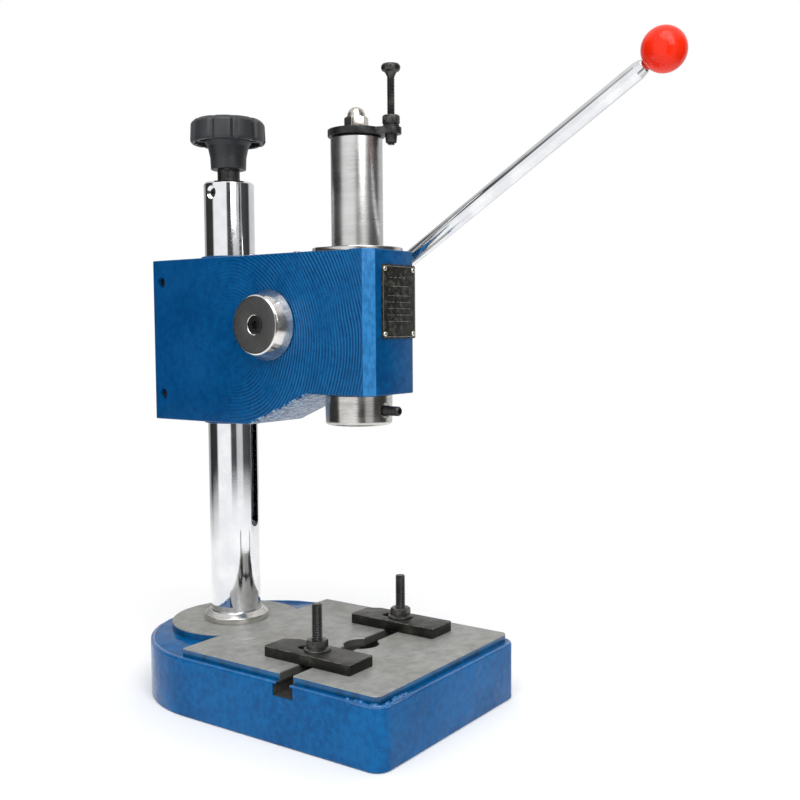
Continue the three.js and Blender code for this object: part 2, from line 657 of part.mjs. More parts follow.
// teeth are drawn about the shaft axis; angle 180 degrees points at the ram
function sectorShape() {
  const shape = new THREE.Shape();
  const pitchAngle = 2 * Math.PI / GEAR_TEETH;
  const rootR = GEAR_PITCH_R - DEDENDUM;
  const tipR = GEAR_PITCH_R + ADDENDUM;
  const rootHalf = pitchAngle * 0.27;
  const pitchHalf = pitchAngle * 0.205;
  const tipHalf = pitchAngle * 0.115;
  const points = [];
  const polar = (radius, angle) => points.push([radius * Math.cos(angle), radius * Math.sin(angle)]);
  for (let tooth = -GEAR_TEETH_ABOVE; tooth < GEAR_TEETH_BELOW; tooth += 1) {
    const centre = Math.PI + (tooth + 0.5) * pitchAngle;
    polar(rootR, centre - rootHalf);
    polar(GEAR_PITCH_R, centre - pitchHalf);
    polar(tipR, centre - tipHalf);
    polar(tipR, centre + tipHalf);
    polar(GEAR_PITCH_R, centre + pitchHalf);
    polar(rootR, centre + rootHalf);
  }
  const hubR = 17;
  const last = Math.PI + (GEAR_TEETH_BELOW - 0.2) * pitchAngle;
  const first = Math.PI - (GEAR_TEETH_ABOVE - 0.2) * pitchAngle;
  polar(hubR, last + 0.15);
  const hubSteps = 14;
  const hubStart = last + 0.25;
  const hubEnd = first + 2 * Math.PI - 0.25;
  for (let i = 0; i <= hubSteps; i += 1) polar(hubR, hubStart + (hubEnd - hubStart) * i / hubSteps);
  points.forEach(([x, y], index) => (index === 0 ? shape.moveTo(x, y) : shape.lineTo(x, y)));
  shape.closePath();
  return shape;
}

function buildSectorGear() {
  const blank = slab(sectorShape(), -GEAR_HALF_WIDTH, GEAR_HALF_WIDTH)
    .rotateX(Math.PI / 2)
    .rotateZ(Math.PI / 2);
  const bore = disc(SHAFT_R + 0.15, -20, 20, ROUND).rotateY(Math.PI / 2);
  const keyway = box(-20, 20, -3.1, 3.1, 8, 13.1);
  addNode('sector_gear', cut(blank, [bore, keyway]), 'ground_steel', [0, SHAFT_Y, SHAFT_Z]);

  const key = box(-GEAR_HALF_WIDTH + 0.5, GEAR_HALF_WIDTH - 0.5, -2.9, 2.9, 7.1, 12.8);
  addNode('gear_key', key, 'spring_steel', [0, SHAFT_Y, SHAFT_Z]);

  const inner = GEAR_HALF_WIDTH + 0.3;
  const outer = CASE_HALF_WIDTH - 0.3;
  for (const [side, low, high] of [['left', -outer, -inner], ['right', inner, outer]]) {
    const washer = tube(SHAFT_R + 0.15, 16, low, high, MEDIUM_ROUND).rotateY(Math.PI / 2);
    addNode(`thrust_washer_${side}`, washer, 'bronze', [0, SHAFT_Y, SHAFT_Z]);
  }
}

function buildShaft() {
  const bar = turned([
    [0, SHAFT_STUB_LEFT], [SHAFT_STUB_R, SHAFT_STUB_LEFT], [SHAFT_STUB_R, SHAFT_LEFT], [SHAFT_R, SHAFT_LEFT],
    [SHAFT_R, SHAFT_RIGHT - 1], [SHAFT_R - 1, SHAFT_RIGHT], [0, SHAFT_RIGHT],
  ], ROUND);
  const capTapping = disc(4.2, SHAFT_STUB_LEFT - 1, -20, SMALL_ROUND);
  const shape = alongX(cut(bar, [capTapping]));
  const keySeat = box(-GEAR_HALF_WIDTH, GEAR_HALF_WIDTH, -3.1, 3.1, 6.9, 12);
  const hubDimple = disc(3, 6, 12, TINY_ROUND).rotateX(Math.PI).translate(LEVER_X + 8, 0, 0);
  addNode('shaft', cut(shape, [keySeat, hubDimple]), 'ground_steel', [0, SHAFT_Y, SHAFT_Z]);

  const wallInner = CASE_HALF_WIDTH;
  const walls = [['left', -HEAD_HALF_WIDTH, -wallInner], ['right', wallInner, HEAD_HALF_WIDTH]];
  for (const [side, low, high] of walls) {
    const bush = tube(SHAFT_R + 0.15, SHAFT_BUSH_R, low, high, ROUND).rotateY(Math.PI / 2);
    addNode(`shaft_bush_${side}`, bush, 'bronze', [0, SHAFT_Y, SHAFT_Z]);
  }
}

function buildSpringCap() {
  const cap = turned([
    [SHAFT_STUB_R + 0.2, CAP_BACK + 0.6], [CAP_BOSS_R, CAP_BACK + 0.6 - 1], [CAP_BOSS_R, CAP_HOLLOW_FRONT],
    [CAP_HOLLOW_R, CAP_HOLLOW_FRONT], [CAP_HOLLOW_R, CAP_BACK], [CAP_BACK_R, CAP_BACK],
    [CAP_BACK_R, CAP_BACK - 1], [CAP_FRONT_R + 0.8, CAP_FRONT + 0.8], [CAP_FRONT_R, CAP_FRONT],
    [CAP_COUNTERBORE_R + 0.5, CAP_FRONT], [CAP_COUNTERBORE_R, CAP_FRONT + 0.5],
    [CAP_COUNTERBORE_R, CAP_COUNTERBORE_FLOOR], [4.3, CAP_COUNTERBORE_FLOOR],
    [4.3, SHAFT_STUB_LEFT - 0.3], [SHAFT_STUB_R + 0.2, SHAFT_STUB_LEFT - 0.3],
    [SHAFT_STUB_R + 0.2, CAP_BACK + 0.6],
  ].reverse(), BIG_ROUND);
  addNode('spring_cap', alongX(cap), 'chrome', [0, SHAFT_Y, SHAFT_Z]);

  const screw = socketScrew(6.5, 4.6, 3.9, 14, 6).rotateY(-Math.PI / 2);
  addNode('cap_screw', screw, 'black_oxide', [CAP_COUNTERBORE_FLOOR - 0.3, SHAFT_Y, SHAFT_Z]);

  const pin = disc(ANCHOR_R, 0, 16, TINY_ROUND).rotateY(-Math.PI / 2);
  const pinPlace = [-HEAD_HALF_WIDTH + 5.6, SHAFT_Y, SHAFT_Z - ANCHOR_RADIUS];
  addNode('spring_anchor_pin', pin, 'spring_steel', pinPlace);
}

// flat strip wound as a spiral from the cap's boss out to the anchor pin
function springShape() {
  const steps = Math.round(SPRING_TURNS * 16);
  const outerAngle = -Math.PI / 2;
  const innerAngle = outerAngle - SPRING_TURNS * 2 * Math.PI;
  const inner = [];
  const outer = [];
  for (let i = 0; i <= steps; i += 1) {
    const t = i / steps;
    const angle = innerAngle + (outerAngle - innerAngle) * t;
    const radius = SPRING_INNER_R + (SPRING_OUTER_R - SPRING_THICKNESS - SPRING_INNER_R) * t;
    inner.push([radius * Math.cos(angle), radius * Math.sin(angle)]);
    const outerRadius = radius + SPRING_THICKNESS;
    outer.push([outerRadius * Math.cos(angle), outerRadius * Math.sin(angle)]);
  }
  const shape = new THREE.Shape();
  [...outer, ...inner.reverse()].forEach(([x, y], index) => {
    if (index === 0) {
      shape.moveTo(x, y);
    } else {
      shape.lineTo(x, y);
    }
  });
  shape.closePath();
  return shape;
}

function buildReturnSpring() {
  const centre = (CAP_HOLLOW_FRONT + CAP_BACK) / 2;
  const strip = slab(springShape(), centre - SPRING_WIDTH / 2, centre + SPRING_WIDTH / 2)
    .rotateX(Math.PI / 2).rotateZ(Math.PI / 2);
  addNode('return_spring', strip, 'spring_steel', [0, SHAFT_Y, SHAFT_Z]);
}

// everything on the lever is made along +Z and turned to the lever's rest angle
function leverTurn() {
  return Math.PI / 2 - LEVER_ANGLE;
}

function buildLever() {
  const hubBody = alongX(turned([
    [0, HUB_LEFT], [HUB_R - 1.5, HUB_LEFT], [HUB_R, HUB_LEFT + 1.5], [HUB_R, HUB_RIGHT - 2],
    [HUB_R - 2, HUB_RIGHT], [0, HUB_RIGHT],
  ]));
  const bore = disc(SHAFT_R + 0.15, HUB_LEFT - 1, SHAFT_RIGHT + 5, ROUND).rotateY(Math.PI / 2);
  const rodHole = disc(LEVER_ROD_R - 0.8, 8, 30, SMALL_ROUND).translate(LEVER_X, 0, 0).rotateX(leverTurn());
  const rodSeat = disc(LEVER_ROD_R + 2, HUB_R - 1.5, 30, SMALL_ROUND)
    .translate(LEVER_X, 0, 0)
    .rotateX(leverTurn());
  const grubHole = disc(3.1, -30, 0, SMALL_ROUND).translate(LEVER_X + 8, 0, 0);
  const hub = cut(hubBody, [bore, rodHole, rodSeat, grubHole]);
  addNode('lever_hub', hub, 'ground_steel', [0, SHAFT_Y, SHAFT_Z]);

  const grubBlank = turned([[0, -17], [2.9, -17], [2.9, -9], [1.5, -7.5], [0, -7.5]], TINY_ROUND);
  const grub = cut(grubBlank, [hexagon(3, -18, -14)]);
  addNode('hub_grub_screw', grub, 'black_oxide', [LEVER_X + 8, SHAFT_Y, SHAFT_Z]);

  const rod = turned([
    [0, 11], [LEVER_ROD_R - 1.1, 11], [LEVER_ROD_R - 1.1, HUB_R - 1.2], [LEVER_ROD_R, HUB_R - 0.8],
    [LEVER_ROD_R, LEVER_LENGTH - BALL_R - 6], [LEVER_ROD_R - 1, LEVER_LENGTH - BALL_R - 1],
    [3.8, LEVER_LENGTH - BALL_R + 1], [3.8, LEVER_LENGTH + 4], [0, LEVER_LENGTH + 4],
  ], MEDIUM_ROUND).translate(LEVER_X, 0, 0).rotateX(leverTurn());
  addNode('lever_rod', rod, 'chrome', [0, SHAFT_Y, SHAFT_Z]);

  const arc = [];
  const steps = 10;
  const seatAngle = Math.asin(5.4 / BALL_R);
  for (let i = 0; i <= steps; i += 1) {
    const angle = seatAngle + (Math.PI - seatAngle) * i / steps;
    arc.push([BALL_R * Math.sin(angle), LEVER_LENGTH - BALL_R * Math.cos(angle)]);
  }
  arc[steps][0] = 0;
  const seatZ = LEVER_LENGTH - BALL_R * Math.cos(seatAngle);
  const insertEnd = LEVER_LENGTH + 4.5;
  const ball = turned([[0, insertEnd], [4.1, insertEnd], [4.1, seatZ], ...arc], MEDIUM_ROUND)
    .translate(LEVER_X, 0, 0).rotateX(leverTurn());
  addNode('lever_ball', ball, 'red_plastic', [0, SHAFT_Y, SHAFT_Z]);
}

// ---------------------------------------------------------------- ram

// rack teeth drawn in (y, z) about the ram axis; material between the gaps is left standing
function rackGaps() {
  const pitchLine = SHAFT_TO_RAM - GEAR_PITCH_R;
  const tipLine = RAM_R + 2;
  const rootLine = pitchLine - ADDENDUM - 0.5;
  const gaps = [];
  for (let gap = -RACK_BELOW; gap < RACK_ABOVE; gap += 1) {
    const z = SHAFT_Z + (gap + 0.5) * TOOTH_PITCH;
    const half = TOOTH_PITCH * 0.29;
    const slope = Math.tan(THREE.MathUtils.degToRad(20));
    const narrow = half - (pitchLine - rootLine) * slope;
    const wide = half + (tipLine - pitchLine) * slope;
    const shape = new THREE.Shape();
    shape.moveTo(rootLine, z - narrow);
    shape.lineTo(tipLine, z - wide);
    shape.lineTo(tipLine, z + wide);
    shape.lineTo(rootLine, z + narrow);
    shape.closePath();
    gaps.push(slabAcross(shape, RAM_R));
  }
  return gaps;
}

function buildRam() {
  const bar = turned([
    [0, RAM_BOTTOM - 5], [15, RAM_BOTTOM - 5], [15, RAM_BOTTOM], [RAM_R, RAM_BOTTOM],
    [RAM_R, RAM_TOP - 1.5], [RAM_R - 1.5, RAM_TOP], [0, RAM_TOP],
  ], BIG_ROUND);
  const toolBore = disc(TOOL_BORE_R + 0.1, RAM_BOTTOM - 8, 262, SMALL_ROUND);
  const studHole = disc(4.6, RAM_TOP - 22, RAM_TOP + 1, SMALL_ROUND);
  const flatLow = SHAFT_Z - (RACK_BELOW - 0.25) * TOOTH_PITCH;
  const flatHigh = SHAFT_Z + (RACK_ABOVE - 0.25) * TOOTH_PITCH;
  const flat = box(-RAM_R, RAM_R, SHAFT_TO_RAM - GEAR_PITCH_R + 2, RAM_R + 2, flatLow, flatHigh);
  addNode('ram', cut(bar, [toolBore, studHole, flat, ...rackGaps()]), 'ground_steel', [0, RAM_Y, 0]);

  const stud = turned([
    [0, RAM_TOP - 21], [3.6, RAM_TOP - 21], [4.3, RAM_TOP - 20], [4.3, 442.3], [3.6, 443], [0, 443],
  ], SMALL_ROUND);
  addNode('ram_stud', stud, 'ground_steel', [0, RAM_Y, 0]);
}

function buildToolHolder() {
  const body = turned([
    [0, HOLDER_BOTTOM], [HOLDER_R - 3.5, HOLDER_BOTTOM], [HOLDER_R - 1.2, HOLDER_BOTTOM + 1.2],
    [HOLDER_R, HOLDER_BOTTOM + 3.5], [HOLDER_R, HOLDER_TOP - 0.8], [HOLDER_R - 0.8, HOLDER_TOP],
    [0, HOLDER_TOP],
  ], BIG_ROUND);
  const socket = disc(15.3, RAM_BOTTOM - 5.3, HOLDER_TOP + 1, BIG_ROUND);
  const toolBore = disc(TOOL_BORE_R, HOLDER_BOTTOM - 1, HOLDER_TOP, SMALL_ROUND);
  const screwHole = disc(4.1, 3, 30, SMALL_ROUND).rotateX(Math.PI / 2).translate(0, 0, TOOL_SCREW_Z);
  const screwSeat = disc(5.8, 22.5, 30, SMALL_ROUND).rotateX(Math.PI / 2).translate(0, 0, TOOL_SCREW_Z);
  addNode('tool_holder', cut(body, [socket, toolBore, screwHole, screwSeat]), 'ground_steel', [0, RAM_Y, 0]);

  const screw = turned([
    [0, 6.6], [2.6, 6.6], [3.8, 7.8], [3.8, 27], [3.6, 27.4], [3.6, TOOL_SCREW_END - 1.4],
    [2.4, TOOL_SCREW_END], [0, TOOL_SCREW_END],
  ], SMALL_ROUND);
  const drive = hexagon(4, TOOL_SCREW_END - 4, TOOL_SCREW_END + 1);
  const geometry = cut(screw, [drive]).rotateX(Math.PI / 2);
  addNode('tool_clamp_screw', geometry, 'black_oxide', [0, RAM_Y, TOOL_SCREW_Z]);
}

// round plate with an ear; two waist curves run from the disc to the ear
function stopPlateShape() {
  const along = new THREE.Vector2(Math.cos(EAR_ANGLE), Math.sin(EAR_ANGLE));
  const ear = along.clone().multiplyScalar(EAR_DISTANCE);
  const spread = THREE.MathUtils.degToRad(24);
  const shape = new THREE.Shape();
  const start = EAR_ANGLE + spread;
  shape.moveTo(PLATE_R * Math.cos(start), PLATE_R * Math.sin(start));
  shape.absarc(0, 0, PLATE_R, start, EAR_ANGLE - spread + 2 * Math.PI, false);
  const earStart = EAR_ANGLE - THREE.MathUtils.degToRad(100);
  const earEnd = EAR_ANGLE + THREE.MathUtils.degToRad(100);
  shape.lineTo(ear.x + EAR_R * Math.cos(earStart), ear.y + EAR_R * Math.sin(earStart));
  shape.absarc(ear.x, ear.y, EAR_R, earStart, earEnd, false);
  shape.closePath();
  return shape;
}

function buildStopPlate() {
  const earX = EAR_DISTANCE * Math.cos(EAR_ANGLE);
  const earY = EAR_DISTANCE * Math.sin(EAR_ANGLE);
  const plate = slab(stopPlateShape(), PLATE_BOTTOM, PLATE_TOP, 14);
  const spigot = turned([
    [0, PLATE_BOTTOM - 6], [3.9, PLATE_BOTTOM - 6], [4.6, PLATE_BOTTOM + 1], [0, PLATE_BOTTOM + 1],
  ], SMALL_ROUND).translate(earX, earY, 0);
  const studHole = disc(4.8, PLATE_BOTTOM - 1, PLATE_TOP + 1, SMALL_ROUND);
  const boltHole = disc(STOP_BOLT_R + 0.25, PLATE_BOTTOM - 8, PLATE_TOP + 1, SMALL_ROUND)
    .translate(earX, earY, 0);
  addNode('stop_plate', cut(join([plate, spigot]), [studHole, boltHole]), 'black_oxide', [0, RAM_Y, 0]);

  const domeBase = PLATE_TOP + 0.2;
  const hexHeight = 9;
  const hex = hexagon(15.4, domeBase, domeBase + hexHeight, 0.25);
  const crown = turned([
    [0, domeBase], [8.2, domeBase], [8.9, domeBase + 0.8], [8.9, domeBase + hexHeight - 1.4],
    [6.9, domeBase + hexHeight + 0.4], [5.8, domeBase + hexHeight + 4.6], [4.2, domeBase + hexHeight + 6.6],
    [0, domeBase + hexHeight + 7.4],
  ], MEDIUM_ROUND);
  const neck = disc(6.9, domeBase + 1, domeBase + hexHeight + 0.3, MEDIUM_ROUND);
  const dome = cut(crown, [tube(6.9, 12, domeBase + hexHeight, domeBase + 30, MEDIUM_ROUND)]);
  const domeLimit = disc(6.9, domeBase, domeBase + 20, MEDIUM_ROUND);
  const nut = join([common(hex, crown), common(dome, domeLimit), neck]);
  const bore = disc(4.5, domeBase - 1, 443.4, SMALL_ROUND);
  addNode('dome_nut', cut(nut, [bore]), 'nickel', [0, RAM_Y, 0]);

  const boltX = earX;
  const boltY = RAM_Y + earY;
  const washer = tube(STOP_BOLT_R + 0.25, 6, 0, 1.6, SMALL_ROUND);
  addNode('stop_washer', washer, 'black_oxide', [boltX, boltY, PLATE_TOP + 0.1]);

  const lockNut = hexNut(11, 6.6, STOP_BOLT_R + 0.25);
  addNode('stop_lock_nut', lockNut, 'black_oxide', [boltX, boltY, PLATE_TOP + 1.95]);

  const bolt = turned([
    [0, STOP_BOLT_BOTTOM], [STOP_BOLT_R - 0.8, STOP_BOLT_BOTTOM], [STOP_BOLT_R, STOP_BOLT_BOTTOM + 0.8],
    [STOP_BOLT_R, STOP_BOLT_TOP - 8.6], [4.2, STOP_BOLT_TOP - 5.8], [6.2, STOP_BOLT_TOP - 4.6],
    [7, STOP_BOLT_TOP - 3.2], [7, STOP_BOLT_TOP - 1.6], [6, STOP_BOLT_TOP], [0, STOP_BOLT_TOP],
  ], SMALL_ROUND);
  addNode('stop_bolt', bolt, 'black_oxide', [boltX, boltY, 0]);
}

// ---------------------------------------------------------------- work clamps

function strapShape() {
  const half = STRAP_WIDTH / 2;
  const back = STRAP_LENGTH / 2;
  const slotHalf = 4.8;
  const shape = new THREE.Shape();
  shape.moveTo(half, -back);
  shape.lineTo(half, back - STRAP_CLIP_LENGTH);
  shape.lineTo(half - STRAP_CLIP_WIDTH, back);
  shape.lineTo(-half + STRAP_CORNER, back);
  shape.lineTo(-half, back - STRAP_CORNER);
  shape.lineTo(-half, -back);
  shape.closePath();
  const slot = new THREE.Path();
  slot.absarc(0, 12, slotHalf, 0, Math.PI, false);
  slot.absarc(0, -4, slotHalf, Math.PI, 2 * Math.PI, false);
  slot.closePath();
  shape.holes.push(slot);
  return shape;
}

function buildWorkClamp(side, x) {
  const place = [x, RAM_Y, 0];
  const bolt = join([
    box(-8.8, 8.8, -8.8, 8.8, SLOT_BOTTOM + 0.4, SLOT_NECK_BOTTOM - 0.5),
    turned(
      [[0, 40], [STUD_R, 40], [STUD_R, STUD_TOP - 0.8], [STUD_R - 0.8, STUD_TOP], [0, STUD_TOP]],
      SMALL_ROUND,
    ),
  ]);
  addNode(`clamp_bolt_${side}`, bolt, 'black_oxide', place);

  const strapBottom = BASE_TOP + 0.1;
  const strap = slab(strapShape(), strapBottom, strapBottom + STRAP_THICKNESS, 8);
  addNode(`clamp_strap_${side}`, strap, 'black_oxide', place);

  const nutBottom = strapBottom + STRAP_THICKNESS + 0.1;
  const nut = join([
    hexNut(14, 7.8, STUD_R + 0.25),
    tube(STUD_R + 0.25, 9.8, 0, 1.7, SMALL_ROUND),
  ]).translate(0, 0, nutBottom);
  addNode(`clamp_nut_${side}`, nut, 'black_oxide', place);
}

// ---------------------------------------------------------------- assembly

buildBase();
buildColumn();
buildScrewBush();
buildLiftScrew();
buildKnob();
buildHead();
buildGearCover();
buildLiftNut();
buildNameplate();
buildClampScrews();
buildSectorGear();
buildShaft();
buildSpringCap();
buildReturnSpring();
buildLever();
buildRam();
buildToolHolder();
buildStopPlate();
buildWorkClamp('left', -CLAMP_X);
buildWorkClamp('right', CLAMP_X);

export default arborPress;
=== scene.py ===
"""Looks of the arbor press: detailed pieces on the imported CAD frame, materials, light and camera.

Lengths in the mesh code are millimetres in the row frame; they become metres when a mesh is made.
"""

import json
import math
import random

import bmesh
import bpy
from mathutils import Matrix, Vector
from mathutils import noise as turbulence


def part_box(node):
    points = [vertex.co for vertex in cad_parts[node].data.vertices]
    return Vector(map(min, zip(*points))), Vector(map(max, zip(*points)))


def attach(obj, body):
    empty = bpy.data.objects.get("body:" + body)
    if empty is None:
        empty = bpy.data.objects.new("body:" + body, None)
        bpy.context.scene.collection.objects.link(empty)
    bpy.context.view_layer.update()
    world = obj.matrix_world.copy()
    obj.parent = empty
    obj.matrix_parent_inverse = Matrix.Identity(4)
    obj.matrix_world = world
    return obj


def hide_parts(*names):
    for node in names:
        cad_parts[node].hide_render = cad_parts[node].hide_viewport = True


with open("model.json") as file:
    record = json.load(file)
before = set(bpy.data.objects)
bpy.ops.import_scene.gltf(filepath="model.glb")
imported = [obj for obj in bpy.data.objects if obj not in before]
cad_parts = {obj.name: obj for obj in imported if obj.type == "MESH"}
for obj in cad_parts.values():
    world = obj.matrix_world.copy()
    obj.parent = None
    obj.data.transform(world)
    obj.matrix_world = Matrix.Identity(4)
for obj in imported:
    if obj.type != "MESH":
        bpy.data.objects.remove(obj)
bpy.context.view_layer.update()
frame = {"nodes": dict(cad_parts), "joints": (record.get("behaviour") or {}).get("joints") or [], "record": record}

MM = 0.001
FINE = 128      # sides of a large smooth round
SMALL = 48      # sides of a fastener

QUARTER = math.radians(90)
TO_FRONT = Matrix.Rotation(QUARTER, 4, "X")     # lays a shape made along +Z along -Y
# sends (across, up, depth) of a prism to X, Z, Y
FACE_ON = Matrix(((1, 0, 0, 0), (0, 0, 1, 0), (0, 1, 0, 0), (0, 0, 0, 1)))
# sends (depth, up, across) of a prism to Y, Z, X
SIDE_ON = Matrix(((0, 0, 1, 0), (1, 0, 0, 0), (0, 1, 0, 0), (0, 0, 0, 1)))

# (azimuth in degrees from +X towards +Y, brightness) of the studio round the object
WORLD_BANDS = [
    (-180, 1.25), (-150, 1.25), (-144, 0.10), (-125, 0.08), (-117, 0.75), (-97, 0.80), (-88, 0.10),
    (-40, 0.06), (-26, 0.85), (40, 0.90), (60, 0.55), (84, 0.50), (95, 0.04), (140, 0.05), (152, 1.25),
    (180, 1.25),
]
CAMERA_PLACE = Vector((-603.12, -518.69, 286.89))
CAMERA_YAW, CAMERA_PITCH, CAMERA_ROLL = (math.radians(angle) for angle in (35.41, 3.99, -0.39))
CAMERA_LENS = 46.275


# ---------------------------------------------------------------- places read from the CAD frame

def cad_box(name):
    """Lowest and highest corner of a CAD node, in millimetres."""
    low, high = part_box(name)
    return [value / MM for value in low], [value / MM for value in high]


def cad_centre(name):
    low, high = cad_box(name)
    return [(a + b) / 2 for a, b in zip(low, high)]


def joint_place(name):
    """A hinge's point from the record, in millimetres."""
    joint = next(j for j in frame["joints"] if j["name"] == name)
    return [value / MM for value in joint["pos_m"]]


BASE_LOW, BASE_HIGH = cad_box("base")
BASE_HALF = BASE_HIGH[0]
BASE_FRONT = BASE_LOW[1]
BASE_CORNER = 11
HEAD_LOW, HEAD_HIGH = cad_box("head_casting")
COLUMN_LOW, COLUMN_HIGH = cad_box("column")
RAM_LOW, RAM_HIGH = cad_box("ram")
COLUMN_Y = cad_centre("column")[1]
RAM_Y = cad_centre("ram")[1]
SHAFT_Y, SHAFT_Z = joint_place("lever_swing")[1:]
COLUMN_R = COLUMN_HIGH[0]
RAM_R = RAM_HIGH[0]
TABLE_Z = BASE_HIGH[2]
LEDGE_Z = TABLE_Z - 6
NOSE_Z = 239            # underside of the head at the ram
SLOPE_START_Y = -28     # the slope under the head goes from here
SLOPE_END_Y = 30        # to here
HEAD_CORNER = 7.5       # leg of the chamfer on the head's front corners
MILL_STEP = 0.0026      # distance between two mill arcs, in metres
RUST_CHIP = (-57, 115, LEDGE_Z - 1)


# ---------------------------------------------------------------- mesh code

def arc(x, y, radius, start, end, steps):
    """Points on an arc; angles in degrees."""
    points = []
    for i in range(steps + 1):
        angle = math.radians(start + (end - start) * i / steps)
        points.append((x + radius * math.cos(angle), y + radius * math.sin(angle)))
    return points


def rounded(points, radius, closed=True, steps=4):
    """A line of 2-D points with each corner rounded. radius is one number, or one for each point."""
    count = len(points)
    radii = radius if isinstance(radius, (list, tuple)) else [radius] * count
    result = []
    for i, point in enumerate(points):
        is_end = not closed and i in (0, count - 1)
        if is_end or radii[i] <= 0:
            result.append(tuple(point))
            continue
        corner = Vector(point)
        before = Vector(points[i - 1]) - corner
        after = Vector(points[(i + 1) % count]) - corner
        half_angle = max(before.angle(after) / 2, 0.05)
        reach = min(radii[i] / math.tan(half_angle), before.length * 0.48, after.length * 0.48)
        first = corner + before.normalized() * reach
        last = corner + after.normalized() * reach
        for k in range(steps + 1):
            t = k / steps
            result.append(tuple(first * (1 - t) ** 2 + corner * 2 * t * (1 - t) + last * t * t))
    return result


def lathe(profile, sides=FINE, closed=False, wobble=None):
    """Turns a profile of (radius, height) about Z. wobble(angle, radius) is taken off a radius."""
    verts = []
    rings = []
    for radius, height in profile:
        if radius < 1e-6:
            rings.append([len(verts)])
            verts.append((0, 0, height))
            continue
        rings.append(list(range(len(verts), len(verts) + sides)))
        for i in range(sides):
            angle = 2 * math.pi * i / sides
            r = radius - (wobble(angle, radius) if wobble else 0)
            verts.append((r * math.cos(angle), r * math.sin(angle), height))
    pairs = list(zip(rings, rings[1:]))
    if closed:
        pairs.append((rings[-1], rings[0]))
    faces = []
    for low, high in pairs:
        for i in range(sides):
            j = (i + 1) % sides
            corners = [low[i % len(low)], low[j % len(low)], high[j % len(high)], high[i % len(high)]]
            face = list(dict.fromkeys(corners))
            if len(face) > 2:
                faces.append(face)
    return verts, faces


def spun(points, radii, sides=FINE, closed=False, steps=4):
    """A profile with rounded corners turned about Z; a closed one makes a ring."""
    return lathe(rounded(points, radii, closed, steps), sides, closed)


def disc(radius, low, high, sides=FINE):
    return lathe([(0, low), (radius, low), (radius, high), (0, high)], sides)


def prism(outline, low, high):
    """A closed (x, y) outline raised from low to high."""
    count = len(outline)
    verts = [(x, y, low) for x, y in outline] + [(x, y, high) for x, y in outline]
    faces = [list(range(count))[::-1], list(range(count, 2 * count))]
    for i in range(count):
        j = (i + 1) % count
        faces.append([i, j, count + j, count + i])
    return verts, faces


def rectangle(x0, x1, y0, y1):
    return [(x0, y0), (x1, y0), (x1, y1), (x0, y1)]


def block(x0, x1, y0, y1, z0, z1):
    return prism(rectangle(x0, x1, y0, y1), z0, z1)


def hexagon(across_flats, turn):
    radius = across_flats / math.sqrt(3)
    return [
        (radius * math.cos(turn + i * math.pi / 3), radius * math.sin(turn + i * math.pi / 3))
        for i in range(6)
    ]


def thread(radius, pitch, low, high, sides=36, depth=0.61):
    """A rod with a helical thread and plain chamfered ends. depth is a share of the pitch."""
    rows = max(2, round((high - low) / pitch * 8))
    verts = []
    for row in range(rows + 1):
        height = low + (high - low) * row / rows
        fade = min(1, (height - low) / pitch, (high - height) / pitch)
        for i in range(sides):
            phase = (height / pitch - i / sides) % 1
            dip = depth * pitch * (1 - abs(2 * phase - 1)) * 0.9
            r = radius - dip - (1 - max(fade, 0)) * depth * pitch * 0.5
            angle = 2 * math.pi * i / sides
            verts.append((r * math.cos(angle), r * math.sin(angle), height))
    faces = [list(range(sides))[::-1], [rows * sides + i for i in range(sides)]]
    for row in range(rows):
        for i in range(sides):
            j = (i + 1) % sides
            a = row * sides
            b = a + sides
            faces.append([a + i, a + j, b + j, b + i])
    return verts, faces


def moved(data, x=0.0, y=0.0, z=0.0):
    verts, faces = data
    return [(a + x, b + y, c + z) for a, b, c in verts], faces


def turned(data, matrix):
    verts, faces = data
    return [tuple(matrix @ Vector(v)) for v in verts], faces


def along_x(data, flip=False):
    """Lays a shape made along +Z along +X, or along -X."""
    return turned(data, Matrix.Rotation(math.radians(-90 if flip else 90), 4, "Y"))


def joined(*parts):
    verts = []
    faces = []
    for part_verts, part_faces in parts:
        start = len(verts)
        verts.extend(part_verts)
        faces.extend([[start + i for i in face] for face in part_faces])
    return verts, faces


def mesh_object(name, data):
    verts, faces = data
    mesh = bpy.data.meshes.new(name)
    mesh.from_pydata([Vector(v) * MM for v in verts], [], faces)
    work = bmesh.new()
    work.from_mesh(mesh)
    bmesh.ops.recalc_face_normals(work, faces=work.faces)
    work.to_mesh(mesh)
    work.free()
    made = bpy.data.objects.new(name, mesh)
    bpy.context.scene.collection.objects.link(made)
    return made


def add_bevel(obj, width, segments=3):
    modifier = obj.modifiers.new("bevel", "BEVEL")
    modifier.width = width * MM
    modifier.segments = segments
    modifier.limit_method = "ANGLE"
    modifier.angle_limit = math.radians(34)
    modifier.use_clamp_overlap = False


def add_booleans(obj, operation, parts):
    helpers = []
    for data in parts:
        helper = mesh_object("helper", data)
        modifier = obj.modifiers.new("boolean", "BOOLEAN")
        modifier.operation = operation
        modifier.solver = "EXACT"
        modifier.object = helper
        helpers.append(helper)
    return helpers


